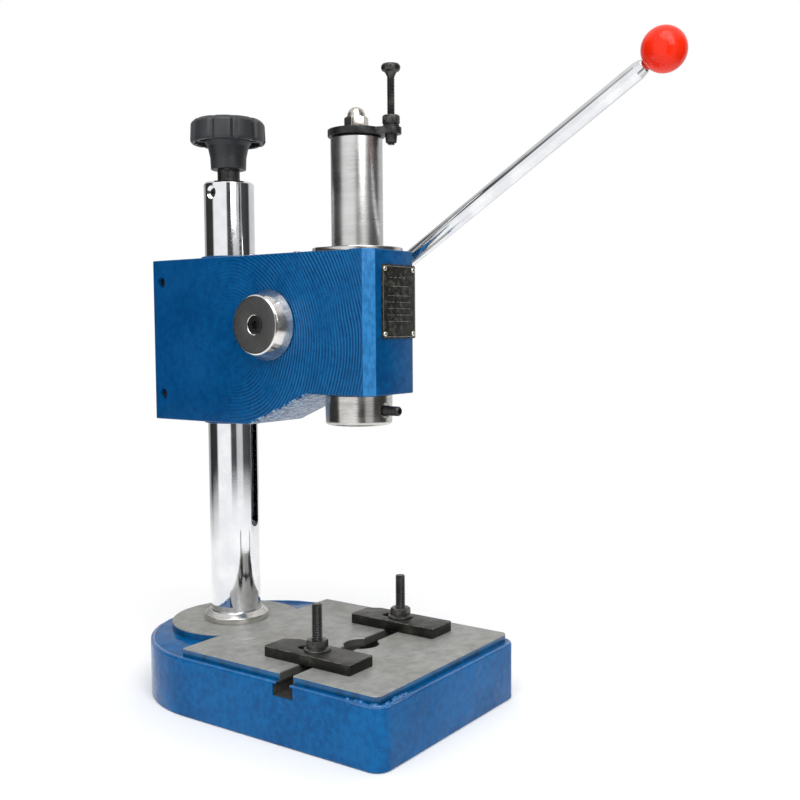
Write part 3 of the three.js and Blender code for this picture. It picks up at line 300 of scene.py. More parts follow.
def shape(name, data, common=(), edge=0.0, add=(), cut=(), last_edge=0.0, smooth=38):
    """An object from mesh data: intersected, bevelled by edge, joined, cut, then bevelled by last_edge."""
    obj = mesh_object(name, data)
    helpers = add_booleans(obj, "INTERSECT", common)
    if edge:
        add_bevel(obj, edge)
    helpers += add_booleans(obj, "UNION", add)
    helpers += add_booleans(obj, "DIFFERENCE", cut)
    if last_edge:
        add_bevel(obj, last_edge, 2)
    bpy.context.view_layer.update()
    graph = bpy.context.evaluated_depsgraph_get()
    finished = bpy.data.meshes.new_from_object(obj.evaluated_get(graph))
    obj.modifiers.clear()
    obj.data = finished
    for helper in helpers:
        bpy.data.objects.remove(helper)
    finished.shade_smooth()
    finished.set_sharp_from_angle(angle=math.radians(smooth))
    return obj


def shift(obj, x=0.0, y=0.0, z=0.0):
    """Moves a finished piece's mesh, in millimetres."""
    obj.data.transform(Matrix.Translation(Vector((x, y, z)) * MM))


def put(obj, body, slot, material, *nodes):
    """Finishes a piece: its material, the body it rides on, and the CAD nodes it stands for; slot is not used."""
    obj.data.materials.clear()
    obj.data.materials.append(material)
    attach(obj, body)
    if nodes:
        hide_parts(*nodes)
    return obj


# ---------------------------------------------------------------- materials

class Finish:
    """A node material being put together. Its patterns are in object coordinates, in metres."""

    def __init__(self, name, **sockets):
        self.material = bpy.data.materials.new(name)
        self.material.use_nodes = True
        self.tree = self.material.node_tree
        self.shader = self.tree.nodes["Principled BSDF"]
        self.place = self.add("ShaderNodeTexCoord").outputs["Object"]
        for socket, value in sockets.items():
            self.shader.inputs[socket.replace("_", " ")].default_value = value

    def add(self, kind, **settings):
        node = self.tree.nodes.new(kind)
        for key, value in settings.items():
            setattr(node, key, value)
        return node

    def link(self, value, socket):
        """Feeds a socket from another one, or sets it to a number, a vector or an (r, g, b) colour."""
        if isinstance(value, bpy.types.NodeSocket):
            self.tree.links.new(value, socket)
        elif socket.type == "RGBA":
            socket.default_value = (*value, 1)
        else:
            socket.default_value = value

    def math(self, operation, *values, clamp=False):
        node = self.add("ShaderNodeMath", operation=operation, use_clamp=clamp)
        for value, socket in zip(values, node.inputs):
            self.link(value, socket)
        return node.outputs[0]

    def times(self, first, *others):
        for other in others:
            first = self.math("MULTIPLY", first, other)
        return first

    def plus(self, first, second):
        return self.math("ADD", first, second)

    def minus(self, first, second):
        return self.math("SUBTRACT", first, second)

    def times_plus(self, first, second, third):
        return self.math("MULTIPLY_ADD", first, second, third)

    def most(self, first, second):
        return self.math("MAXIMUM", first, second)

    def size(self, value):
        return self.math("ABSOLUTE", value)

    def over(self, value, limit):
        return self.math("GREATER_THAN", value, limit)

    def under(self, value, limit):
        return self.math("LESS_THAN", value, limit)

    def reach(self, first, second):
        """Length of the side across from a right angle."""
        return self.math("SQRT", self.plus(self.times(first, first), self.times(second, second)))

    def split(self):
        node = self.add("ShaderNodeSeparateXYZ")
        self.link(self.place, node.inputs[0])
        return node.outputs

    def length(self, vector):
        node = self.add("ShaderNodeVectorMath", operation="LENGTH")
        self.link(vector, node.inputs[0])
        return node.outputs["Value"]

    def mapped(self, scale=(1, 1, 1), shift=(0, 0, 0)):
        node = self.add("ShaderNodeMapping")
        self.link(self.place, node.inputs["Vector"])
        node.inputs["Scale"].default_value = scale
        node.inputs["Location"].default_value = shift
        return node.outputs[0]

    def noise(self, scale, detail=2.0, stretch=(1, 1, 1), shift=(0, 0, 0), roughness=0.55):
        node = self.add("ShaderNodeTexNoise")
        self.link(self.mapped(stretch, shift), node.inputs["Vector"])
        node.inputs["Scale"].default_value = scale
        node.inputs["Detail"].default_value = detail
        node.inputs["Roughness"].default_value = roughness
        return node.outputs["Fac"]

    def steps(self, value, low, high, to_low=0.0, to_high=1.0):
        """A smooth change from to_low to to_high as value goes from low to high."""
        node = self.add("ShaderNodeMapRange", interpolation_type="SMOOTHSTEP")
        for socket, number in zip(node.inputs, (value, low, high, to_low, to_high)):
            self.link(number, socket)
        return node.outputs[0]

    def mix(self, factor, first, second):
        node = self.add("ShaderNodeMix", data_type="RGBA")
        self.link(factor, node.inputs[0])
        self.link(first, node.inputs[6])
        self.link(second, node.inputs[7])
        return node.outputs[2]

    def between(self, factor, first, second):
        """A number that goes from first to second with factor."""
        node = self.add("ShaderNodeMix", data_type="FLOAT")
        self.link(factor, node.inputs[0])
        self.link(first, node.inputs[2])
        self.link(second, node.inputs[3])
        return node.outputs[0]

    def in_hole(self):
        """1 inside the round hole through the base, 0 outside."""
        x, y = self.split()[:2]
        return self.under(self.reach(x, self.minus(y, RAM_Y * MM)), 0.0142)

    def bump(self, height, distance, strength=1.0):
        """Adds a bump layer; height runs from 0 to 1 over distance metres."""
        node = self.add("ShaderNodeBump")
        node.inputs["Strength"].default_value = strength
        node.inputs["Distance"].default_value = distance
        self.link(height, node.inputs["Height"])
        normal = self.shader.inputs["Normal"]
        if normal.is_linked:
            self.link(normal.links[0].from_socket, node.inputs["Normal"])
        self.link(node.outputs[0], normal)

    def color(self, value):
        self.link(value, self.shader.inputs["Base Color"])

    def rough(self, value):
        self.link(value, self.shader.inputs["Roughness"])

    def metal(self, value):
        self.link(value, self.shader.inputs["Metallic"])


def enamel_paint(name, deep, light, lumps=1.0, gloss=0.15, coat=0.05):
    """Glossy blue paint over a casting: uneven colour, orange peel, casting lumps and dust specks."""
    paint = Finish(name, Coat_Weight=coat, Coat_Roughness=0.06, Specular_IOR_Level=gloss)
    cloud = paint.noise(26, 3)
    patch = paint.noise(190, 3, shift=(0.3, 0.1, 0.7))
    tone = paint.steps(paint.times_plus(cloud, 0.55, paint.times(patch, 0.65)), 0.40, 0.82)
    color = paint.mix(tone, deep, light)
    speck = paint.steps(paint.noise(900, 1, shift=(0.9, 0.4, 0.2)), 0.74, 0.78)
    color = paint.mix(paint.times(speck, 0.3), color, (0.14, 0.30, 0.50))
    paint.rough(paint.steps(cloud, 0.3, 0.75, 0.16, 0.30))
    paint.bump(paint.noise(34, 2, shift=(0.5, 0.2, 0.1)), 0.0022 * lumps, 0.55)
    paint.bump(paint.noise(420, 1.5), 0.00012, 0.5)
    return paint, color


def base_paint():
    """Base paint; the milled slot and the hole are bare inside and coloured near black there as painted shade, and
    a chip at the rear left has rusted.
    """
    paint, color = enamel_paint("blue_enamel_base", (0.001, 0.066, 0.208), (0.002, 0.112, 0.320), 1.3, 0.12)
    x, y, z = paint.split()
    in_slot = paint.under(paint.size(paint.minus(y, RAM_Y * MM)), 0.0094)
    above = paint.over(z, (LEDGE_Z - 9.7) * MM)
    inboard = paint.under(paint.size(x), (BASE_HALF - 0.9) * MM)
    bare = paint.most(paint.times(in_slot, above, inboard), paint.in_hole())
    # painted shade: the bare metal inside the slot and the hole is coloured near black
    shaded_bare_metal = paint.mix(paint.noise(300, 3), (0.020, 0.020, 0.019), (0.075, 0.072, 0.066))
    color = paint.mix(bare, color, shaded_bare_metal)
    from_chip = paint.length(paint.mapped(shift=[-value * MM for value in RUST_CHIP]))
    near = paint.times_plus(paint.noise(500, 3), 0.006, from_chip)
    chip = paint.steps(near, 0.0064, 0.0072, 1.0, 0.0)
    rust = paint.mix(paint.noise(900, 3), (0.055, 0.012, 0.006), (0.19, 0.045, 0.016))
    paint.color(paint.mix(chip, color, rust))
    dull = paint.most(bare, chip)
    paint.rough(paint.between(dull, paint.steps(paint.noise(26, 3), 0.3, 0.75, 0.12, 0.24), 0.62))
    return paint.material


def mill_arcs(paint, color):
    """Arcs of a face mill on both sides of the head, strong at the front, drawn as painted highlight on their
    crests and painted shade in their grooves; dull specks in the paint; painted shade darkening the sides towards
    the back.
    """
    x, y, z = paint.split()
    side = paint.over(paint.size(x), (HEAD_HIGH[0] - 0.35) * MM)
    across = paint.minus(y, (SHAFT_Y + 40) * MM)
    up = paint.minus(z, (SHAFT_Z - 12) * MM)
    reach = paint.times_plus(paint.noise(18, 1), 0.008, paint.reach(across, up))
    ripple = paint.math("SINE", paint.times(reach, 2 * math.pi / MILL_STEP))
    faded = paint.steps(paint.noise(30, 3, shift=(0.2, 0.6, 0.3)), 0.32, 0.55, 0.25, 1.0)
    forward = paint.times(side, paint.steps(y, 0.060, 0.0, 0.14, 1.0))
    outer = paint.steps(reach, 0.020, 0.046)
    marks = paint.times(ripple, faded, forward, outer)
    # painted highlight on the crests of the mill arcs and painted shade in their grooves
    crest_highlight = paint.times(paint.most(marks, 0.0), 0.62)
    valley_shade = paint.times(paint.most(paint.times(marks, -1.0), 0.0), 0.55)
    color = paint.mix(crest_highlight, color, (0.010, 0.165, 0.40))
    color = paint.mix(valley_shade, color, (0.0005, 0.026, 0.095))
    fleck = paint.times(paint.steps(paint.noise(420, 4, shift=(0.8, 0.1, 0.5)), 0.54, 0.72), side)
    color = paint.mix(paint.times(fleck, 0.45), color, (0.0005, 0.026, 0.100))
    # painted shade: the sides of the head darken towards the back
    back_shade = paint.times(side, paint.steps(y, -0.01, 0.12, 0.0, 0.42))
    paint.bump(paint.times_plus(marks, 0.5, 0.5), 0.00030, 0.7)
    return paint.mix(back_shade, color, (0.0005, 0.036, 0.140))


def hammered_corners_highlight(paint, color):
    """The sloping front corners of the head: coloured lighter as a painted highlight for the light they catch,
    with a hammered skin.
    """
    x, y = paint.split()[:2]
    off_middle = paint.size(x)
    flat = paint.under(off_middle, (HEAD_HIGH[0] - 0.5) * MM)
    corner = paint.over(off_middle, (HEAD_HIGH[0] - HEAD_CORNER + 0.3) * MM)
    front = paint.under(y, (HEAD_LOW[1] + HEAD_CORNER - 0.3) * MM)
    here = paint.times(flat, corner, front)
    skin = paint.noise(330, 2, stretch=(1, 1, 0.55))
    paint.bump(paint.times(skin, here), 0.0008, 0.8)
    # painted highlight: the corner faces are lightened for the light that falls on them
    light = paint.times(here, paint.steps(skin, 0.3, 0.65, 0.55, 0.95))
    return paint.mix(light, color, (0.035, 0.215, 0.50))


def cast_slope_reflection_and_shade(paint, color):
    """The slope under the head: rough cast, with pale patches of painted reflection and dark patches of painted
    shade.
    """
    y, z = paint.split()[1:]
    fall = (HEAD_LOW[2] + 2 - NOSE_Z) / (SLOPE_END_Y - SLOPE_START_Y)
    line = paint.times_plus(y, fall, (NOSE_Z - fall * SLOPE_START_Y + 1.5) * MM)
    here = paint.times(paint.under(z, line), paint.over(y, SLOPE_START_Y * MM))
    skin = paint.noise(230, 4, shift=(0.4, 0.9, 0.6), roughness=0.7)
    paint.bump(paint.times(skin, here), 0.0014, 0.8)
    # painted reflection: pale patches where the glossy rough cast would catch light
    color = paint.mix(paint.times(here, paint.steps(skin, 0.44, 0.60, 0.0, 0.9)), color, (0.36, 0.46, 0.56))
    # painted shade: dark patches between the lumps of the rough cast
    dark = paint.times(here, paint.steps(skin, 0.34, 0.42, 0.85, 0.0))
    return paint.mix(dark, color, (0.004, 0.016, 0.040))


def head_paint():
    paint, color = enamel_paint("blue_enamel_head", (0.001, 0.056, 0.178), (0.0016, 0.094, 0.272), 0.55)
    color = mill_arcs(paint, color)
    color = hammered_corners_highlight(paint, color)
    paint.color(cast_slope_reflection_and_shade(paint, color))
    return paint.material


def cover_paint():
    """Paint of the smaller castings: smoother than the head."""
    paint, color = enamel_paint("blue_enamel_cover", (0.001, 0.058, 0.185), (0.0016, 0.094, 0.275), 0.4)
    paint.color(color)
    return paint.material


def run_paint():
    """Thick, very glossy paint where it has gathered along an edge."""
    paint, color = enamel_paint(
        "blue_enamel_run", (0.001, 0.070, 0.225), (0.003, 0.135, 0.375), 0.8, gloss=0.5, coat=0.6
    )
    paint.color(color)
    paint.bump(paint.noise(520, 2, shift=(0.1, 0.6, 0.4)), 0.0005, 0.8)
    return paint.material


def ground_iron():
    """Table: ground cast iron with fine mottling and a scratch, paint on its step, and painted shade darkening the
    slot neck and the hole.
    """
    iron = Finish("ground_iron", Specular_IOR_Level=0.4)
    grain = iron.noise(1300, 4, roughness=0.75)
    lines = iron.noise(700, 2, stretch=(0.04, 1, 1))
    cloud = iron.noise(130, 4, shift=(0.6, 0.2, 0.9))
    stain = iron.noise(22, 4, shift=(0.1, 0.8, 0.3))
    fine = iron.times_plus(grain, 0.55, iron.times(lines, 0.12))
    blend = iron.times_plus(cloud, 0.33, fine)
    color = iron.mix(iron.steps(blend, 0.36, 0.66), (0.225, 0.225, 0.213), (0.42, 0.425, 0.405))
    color = iron.mix(iron.steps(stain, 0.45, 0.75, 0.0, 0.35), color, (0.235, 0.215, 0.180))
    pit = iron.steps(iron.noise(1500, 1, shift=(0.4, 0.4, 0.4)), 0.72, 0.76)
    color = iron.mix(iron.times(pit, 0.6), color, (0.070, 0.064, 0.056))
    x, y, z = iron.split()
    bend = iron.times_plus(x, 0.35, y)
    across = iron.size(iron.minus(bend, 0.0115))
    thin = iron.steps(across, 0.0002, 0.0005, 1.0, 0.0)
    along = iron.steps(iron.size(iron.minus(x, -0.0400)), 0.004, 0.0065, 1.0, 0.0)
    color = iron.mix(iron.times(thin, along), color, (0.75, 0.74, 0.72))
    low = iron.under(z, (TABLE_Z - 0.9) * MM)
    outside = iron.over(iron.size(iron.minus(y, RAM_Y * MM)), 0.0066)
    painted = iron.math("SUBTRACT", iron.times(low, outside), iron.in_hole(), clamp=True)
    flow = iron.noise(75, 4, stretch=(1, 1, 0.2), shift=(0.9, 0.3, 0.1))
    blue = iron.mix(iron.steps(flow, 0.30, 0.70), (0.003, 0.048, 0.125), (0.003, 0.098, 0.255))
    color = iron.mix(painted, color, blue)
    # painted shade: the walls of the slot neck and the hole are darkened
    cut_shade = iron.times(low, iron.minus(1.0, painted))
    iron.color(iron.mix(iron.times(cut_shade, 0.8), color, (0.045, 0.044, 0.040)))
    iron.metal(iron.between(painted, 0.35, 0.0))
    iron.rough(iron.between(painted, iron.steps(stain, 0.3, 0.8, 0.42, 0.60), 0.25))
    iron.bump(blend, 0.00004, 0.45)
    return iron.material


def machined_steel(name, dark, light, roughness=(0.22, 0.36), lathe_axis=2, marks=1.0):
    """Steel with fine turning lines round an axis (0, 1 or 2 for X, Y or Z) and handling marks."""
    steel = Finish(name, Metallic=1.0, Anisotropic=0.25)
    stretch = [0.05, 0.05, 0.05]
    stretch[lathe_axis] = 1.0
    fine = steel.noise(3200, 2, stretch=stretch)
    broad = steel.noise(420, 2, stretch=stretch, shift=(0.2, 0.5, 0.9))
    cloud = steel.noise(42, 3)
    grain = steel.times_plus(fine, 0.6, steel.times(broad, 0.4))
    tone = steel.times_plus(cloud, 0.4, steel.times(grain, 0.6))
    steel.color(steel.mix(steel.steps(tone, 0.35, 0.65), dark, light))
    steel.rough(steel.steps(cloud, 0.3, 0.7, *roughness))
    steel.bump(grain, 0.00004 * marks, 0.6)
    return steel.material


def chrome_plate():
    """Polished hard chrome: faint circumferential polishing lines, dust and a few soft smudges."""
    plate = Finish("hard_chrome", Metallic=1.0)
    lines = plate.noise(1500, 2, stretch=(0.05, 0.05, 1))
    smudge = plate.noise(55, 4, shift=(0.7, 0.1, 0.2))
    fleck = plate.steps(plate.noise(1200, 1), 0.76, 0.80)
    tone = plate.mix(plate.steps(smudge, 0.35, 0.75), (0.72, 0.73, 0.75), (0.86, 0.87, 0.88))
    plate.color(plate.mix(plate.times(fleck, 0.4), tone, (0.35, 0.35, 0.34)))
    plate.rough(plate.steps(smudge, 0.35, 0.8, 0.045, 0.13))
    plate.bump(lines, 0.000012, 0.5)
    return plate.material


def spring_cap_metal():
    """Spring cap: dark satin turned face with a bright rim, and a polished cone round it."""
    cap = Finish("chrome_spring_cap", Metallic=1.0)
    low = cad_box("spring_cap")[0]
    x, y, z = cap.split()
    reach = cap.reach(cap.minus(y, SHAFT_Y * MM), cap.minus(z, SHAFT_Z * MM))
    on_face = cap.under(x, (low[0] + 0.12) * MM)
    inside = cap.under(reach, 0.0204)
    face = cap.times(on_face, inside)
    cloud = cap.noise(120, 3)
    dark = cap.mix(cloud, (0.11, 0.11, 0.108), (0.20, 0.20, 0.195))
    bright = cap.mix(cap.steps(cloud, 0.3, 0.7), (0.66, 0.65, 0.63), (0.84, 0.83, 0.81))
    cap.color(cap.mix(face, bright, dark))
    cap.rough(cap.between(face, cap.steps(cloud, 0.3, 0.7, 0.09, 0.17), 0.42))
    rings = cap.math("SINE", cap.times(reach, 2 * math.pi / 0.0006))
    cap.bump(cap.times(rings, face), 0.00003, 0.4)
    cap.bump(cap.noise(900, 2), 0.00001, 0.4)
    return cap.material


def black_oxide(name, dark, worn, wear, roughness, metallic=0.6):
    """Blackened steel with handling wear in patches, oil and fine tool marks."""
    oxide = Finish(name, Metallic=metallic, Specular_IOR_Level=0.5)
    cloud = oxide.noise(75, 4, shift=(0.3, 0.9, 0.1))
    fine = oxide.noise(1400, 3)
    rub = oxide.steps(oxide.times_plus(fine, 0.35, oxide.times(cloud, 0.75)), 0.52, 0.78)
    oxide.color(oxide.mix(oxide.times(rub, wear), dark, worn))
    oxide.rough(oxide.steps(cloud, 0.3, 0.75, roughness - 0.08, roughness + 0.12))
    oxide.bump(fine, 0.00004, 0.6)
    return oxide


def strap_steel():
    """Clamp strap: blackened bar whose flat top is coloured lighter, greyish brown in patches, with a lighter band
    under its top edge.
    """
    strap = black_oxide("black_oxide_strap", (0.012, 0.013, 0.011), (0.085, 0.080, 0.070), 0.8, 0.46)
    top = cad_box("clamp_strap_left")[1][2]
    z = strap.split()[2]
    # the flat top is coloured lighter greyish brown in patches
    on_top = strap.steps(z, (top - 0.5) * MM, (top - 0.05) * MM)
    patch = strap.steps(strap.noise(60, 5, shift=(0.5, 0.5, 0.5)), 0.36, 0.66, 0.25, 0.9)
    grey = strap.mix(strap.noise(1100, 3), (0.062, 0.060, 0.054), (0.135, 0.130, 0.118))
    own = strap.shader.inputs["Base Color"].links[0].from_socket
    color = strap.mix(strap.times(on_top, patch), own, grey)
    # a lighter band is coloured in just under the top edge
    upper = strap.steps(z, (top - 0.8) * MM, (top - 0.5) * MM)
    rim = strap.times(upper, strap.steps(z, (top - 0.3) * MM, (top - 0.04) * MM, 1.0, 0.0))
    rubbed = strap.times(rim, strap.steps(strap.noise(150, 3), 0.38, 0.6, 0.15, 0.9))
    strap.color(strap.mix(rubbed, color, (0.23, 0.21, 0.18)))
    strap.bump(strap.noise(240, 3), 0.00025, 0.5)
    return strap.material


def moulded_black():
    """Dark phenolic knob: satin, with fine moulding texture and dust in the grain."""
    plastic = Finish("black_plastic", Specular_IOR_Level=0.45)
    cloud = plastic.noise(60, 3)
    grain = plastic.noise(1900, 2)
    color = plastic.mix(cloud, (0.018, 0.019, 0.022), (0.040, 0.042, 0.047))
    dust = plastic.steps(plastic.noise(700, 3, shift=(0.2, 0.2, 0.2)), 0.60, 0.74, 0.0, 0.35)
    plastic.color(plastic.mix(dust, color, (0.12, 0.12, 0.125)))
    plastic.rough(plastic.steps(grain, 0.3, 0.7, 0.34, 0.48))
    plastic.bump(grain, 0.00005, 0.6)
    plastic.bump(plastic.noise(140, 2), 0.0002, 0.3)
    return plastic.material


def red_ball():
    """Polished orange-red ball, with very slight moulding waves and hairline scuffs."""
    ball = Finish("red_plastic", Coat_Weight=0.12, Coat_Roughness=0.03, Specular_IOR_Level=0.22)
    cloud = ball.noise(70, 3)
    ball.color(ball.mix(cloud, (0.93, 0.020, 0.003), (1.0, 0.030, 0.005)))
    ball.rough(ball.steps(ball.noise(400, 3, stretch=(1, 0.1, 1)), 0.4, 0.75, 0.16, 0.30))
    ball.bump(ball.noise(160, 1), 0.00008, 0.4)
    return ball.material


def plain_metal(name, dark, light, roughness):
    """Small plated or machined pieces: cloudy tone, fine grain."""
    metal = Finish(name, Metallic=1.0)
    cloud = metal.noise(180, 3)
    grain = metal.noise(2200, 2)
    metal.color(metal.mix(metal.steps(cloud, 0.3, 0.7), dark, light))
    metal.rough(metal.steps(grain, 0.3, 0.7, roughness * 0.8, roughness * 1.25))
    metal.bump(grain, 0.00002, 0.5)
    return metal.material


def plate_ground():
    """Blackened ground of the data plate, slightly rubbed."""
    ground = Finish("nameplate_ground", Metallic=0.4)
    rub = ground.noise(240, 4)
    ground.color(ground.mix(ground.steps(rub, 0.45, 0.75), (0.020, 0.021, 0.018), (0.095, 0.096, 0.080)))
    ground.rough(ground.steps(rub, 0.3, 0.7, 0.26, 0.45))
    ground.bump(ground.noise(1800, 2), 0.00003, 0.6)
    return ground.material


def floor_paper():
    """Plain pale floor with a hint of paper tone, fading into the white backdrop."""
    paper = Finish("floor_paper", Specular_IOR_Level=0.2)
    cloud = paper.noise(1.5, 3)
    paper.color(paper.mix(cloud, (0.90, 0.90, 0.90), (0.93, 0.93, 0.93)))
    paper.rough(paper.steps(cloud, 0.3, 0.7, 0.75, 0.85))
    paper.bump(paper.noise(300, 2), 0.0002, 0.2)
    paper.link(paper.steps(paper.length(paper.place), 0.42, 1.05, 1.0, 0.0), paper.shader.inputs["Alpha"])
    return paper.material


BASE_BLUE = base_paint()
HEAD_BLUE = head_paint()
COVER_BLUE = cover_paint()
RUN_BLUE = run_paint()
TABLE_IRON = ground_iron()
RAM_STEEL = machined_steel(
    "ground_steel_ram", (0.50, 0.50, 0.49), (0.66, 0.66, 0.65), (0.25, 0.30), marks=0.3
)
HUB_STEEL = machined_steel("ground_steel_hub", (0.40, 0.39, 0.38), (0.62, 0.61, 0.60), lathe_axis=0)
HOLDER_STEEL = machined_steel("ground_steel_holder", (0.44, 0.43, 0.41), (0.74, 0.73, 0.70), (0.14, 0.26))
BARE_STEEL = machined_steel("ground_steel", (0.38, 0.38, 0.37), (0.60, 0.60, 0.58), (0.28, 0.42))
CHROME = chrome_plate()
CAP_METAL = spring_cap_metal()
OXIDE = black_oxide("black_oxide", (0.024, 0.024, 0.025), (0.17, 0.165, 0.16), 0.5, 0.38).material
NUT_STEEL = black_oxide(
    "black_oxide_nut", (0.055, 0.055, 0.052), (0.26, 0.25, 0.23), 0.6, 0.27, metallic=0.85
).material
STRAP_STEEL = strap_steel()
THREAD_OXIDE = black_oxide(
    "black_oxide_thread", (0.050, 0.051, 0.050), (0.24, 0.23, 0.20), 0.45, 0.3, metallic=0.8
).material
NICKEL = plain_metal("nickel", (0.50, 0.46, 0.40), (0.78, 0.74, 0.66), 0.2)
BRONZE = plain_metal("bronze", (0.33, 0.21, 0.09), (0.56, 0.38, 0.18), 0.34)
SPRING_STEEL = plain_metal("spring_steel", (0.14, 0.15, 0.17), (0.30, 0.31, 0.33), 0.3)
KNOB_BLACK = moulded_black()
BALL_RED = red_ball()
PLATE_GROUND = plate_ground()
PLATE_SILVER = plain_metal("nameplate_silver", (0.46, 0.45, 0.42), (0.68, 0.66, 0.62), 0.3)

SLOT_MATERIALS = {
    "blue_enamel": COVER_BLUE,
    "ground_steel": BARE_STEEL,
    "chrome": CHROME,
    "black_oxide": OXIDE,
    "nickel": NICKEL,
    "bronze": BRONZE,
    "spring_steel": SPRING_STEEL,
    "black_plastic": KNOB_BLACK,
    "red_plastic": BALL_RED,
    "nameplate": PLATE_GROUND,
}


def finish_cad_nodes():
    """Gives every CAD node a material from its slot; the ones that a piece replaces aren't shown."""
    for subpart in frame["record"]["subparts"]:
        node = frame["nodes"][subpart["node"]]
        node.data.materials.clear()
        node.data.materials.append(SLOT_MATERIALS[subpart["material_slot"]])
        node.data.shade_smooth()
        node.data.set_sharp_from_angle(angle=math.radians(38))


# ---------------------------------------------------------------- base

def base_outline(inset):
    """Outline of the base, moved inwards by inset: round at the back, with two rounded front corners."""
    half = BASE_HALF - inset
    front = BASE_FRONT + inset
    corner = BASE_CORNER - inset
    points = arc(0, BASE_HIGH[1] - BASE_HALF, half, 0, 180, 72)
    points += arc(-half + corner, front + corner, corner, 180, 270, 12)
    points += arc(half - corner, front + corner, corner, 270, 360, 12)
    return points


def table_outline():
    """Rectangle that runs into the round boss at the column."""
    half = BASE_HALF - 4.5
    front = BASE_FRONT + 5.5
    back = 50.5
    boss = 52
    lift = math.degrees(math.asin((COLUMN_Y - back) / boss))
    points = [(half, back)]
    points += arc(0, COLUMN_Y, boss, -lift, 180 + lift, 60)
    points.append((-half, back))
    points += arc(-half + 5, front + 5, 5, 180, 270, 6)
    points += arc(half - 5, front + 5, 5, 270, 360, 6)
    return points


def core_pockets():
    """Cutters for the hollows under the base."""
    pockets = []
    for near, far in ((18, 48), (56, 80)):
        for front, back in ((-126, -88), (-80, -42), (-34, 4), (12, 40)):
            for x0, x1 in ((near, far), (-far, -near)):
                pockets.append(prism(rounded(rectangle(x0, x1, front, back), 4), -1, 24))
    return pockets


def slot_cutters(top):
    """Cutters for the neck and the wide part of the T-slot."""
    reach = BASE_HALF + 5
    neck = block(-reach, reach, RAM_Y - 6.25, RAM_Y + 6.25, LEDGE_Z - 2, top)
    wide = block(-reach, reach, RAM_Y - 9.25, RAM_Y + 9.25, LEDGE_Z - 9.5, LEDGE_Z - 1)
    return neck, wide


def paint_bead():
    """The uneven roll of paint along the top edge of the base, with a run at the front left corner."""
    outline = base_outline(1.7)
    dense = []
    for a, b in zip(outline, outline[1:] + outline[:1]):
        length = math.hypot(b[0] - a[0], b[1] - a[1])
        pieces = max(1, round(length / 2.2))
        for i in range(pieces):
            dense.append((a[0] + (b[0] - a[0]) * i / pieces, a[1] + (b[1] - a[1]) * i / pieces))
    verts = []
    sides = 12
    count = len(dense)
    for i, (x, y) in enumerate(dense):
        ahead = Vector(dense[(i + 1) % count]) - Vector(dense[i - 1])
        out = Vector((ahead.y, -ahead.x)).normalized()
        swell = turbulence.noise(Vector((x, y, 0)) * 0.055) * 0.45
        ripple = turbulence.noise(Vector((x, y, 9)) * 0.23) * 0.16
        to_corner = math.hypot(x + BASE_HALF, y - BASE_FRONT)
        pool = max(0.0, 1 - to_corner / 46) * (0.8 + 1.1 * turbulence.noise(Vector((x, y, 4)) * 0.31))
        wide = 1.45 + swell * 0.6 + ripple + pool * 1.1
        tall = 0.75 + swell * 0.5 + ripple + pool * 0.9
        for k in range(sides):
            angle = 2 * math.pi * k / sides
            side = min(wide * math.cos(angle), 1.65)
            verts.append((x + out.x * side, y + out.y * side, LEDGE_Z - 0.25 + tall * math.sin(angle)))
    faces = []
    for i in range(count):
        a = i * sides
        b = ((i + 1) % count) * sides
        for k in range(sides):
            j = (k + 1) % sides
            faces.append([a + k, a + j, b + j, b + k])
    return verts, faces


def paint_drips():
    """Small round lumps of paint on the ledge at the front left corner of the base."""
    pick = random.Random(7)
    drips = []
    for i in range(26):
        along = 34 * pick.random() ** 1.5
        inward = 2.3 + 2.0 * pick.random()
        radius = 1.1 + 1.5 * pick.random()
        from_side, from_front = (inward, 4 + along) if i % 2 else (4 + along, inward)
        past_arc = math.hypot(min(from_side - BASE_CORNER, 0), min(from_front - BASE_CORNER, 0))
        if past_arc > BASE_CORNER - 2.3:
            continue
        tall = 0.8 * radius
        side = 0.8 * radius
        dome = lathe([(0, -tall), (side, -tall * 0.6), (radius, 0), (side, tall * 0.6), (0, tall)], 16)
        drips.append(moved(dome, x=from_side - BASE_HALF, y=BASE_FRONT + from_front, z=LEDGE_Z + 0.1))
    return joined(*drips)


def make_base():
    neck, wide = slot_cutters(TABLE_Z + 2)
    socket = moved(disc(COLUMN_R + 0.25, COLUMN_LOW[2] - 0.3, TABLE_Z + 2), y=COLUMN_Y)
    hole = moved(disc(13.5, -2, TABLE_Z + 2), y=RAM_Y)
    bolt_hole = moved(disc(6.6, -2, 20, SMALL), y=COLUMN_Y)
    counterbore = moved(disc(16, -2, 9.4), y=COLUMN_Y)
    body = shape(
        "base_casting", prism(base_outline(0), 0, LEDGE_Z), edge=1.5,
        cut=[neck, wide, socket, hole, bolt_hole, counterbore, *core_pockets()],
    )
    put(body, "base_body", "blue_enamel", BASE_BLUE, "base")
    sink = lathe([(0, TABLE_Z - 1), (13.4, TABLE_Z - 1), (15, TABLE_Z + 0.6), (0, TABLE_Z + 0.6)])
    countersink = moved(sink, y=RAM_Y)
    table = shape(
        "base_table", prism(table_outline(), LEDGE_Z - 0.5, TABLE_Z), edge=0.45,
        cut=[neck, socket, hole, countersink],
    )
    put(table, "base_body", "blue_enamel", TABLE_IRON)
    bead = shape("base_paint_bead", paint_bead(), cut=[neck], smooth=80)
    put(bead, "base_body", "blue_enamel", RUN_BLUE)
    drips = shape("base_paint_drips", paint_drips(), smooth=80)
    put(drips, "base_body", "blue_enamel", RUN_BLUE)


# ---------------------------------------------------------------- column and lift screw

def slot_outline(width, low, high):
    half = width / 2
    return arc(0, low + half, half, 180, 360, 12) + arc(0, high - half, half, 0, 180, 12)


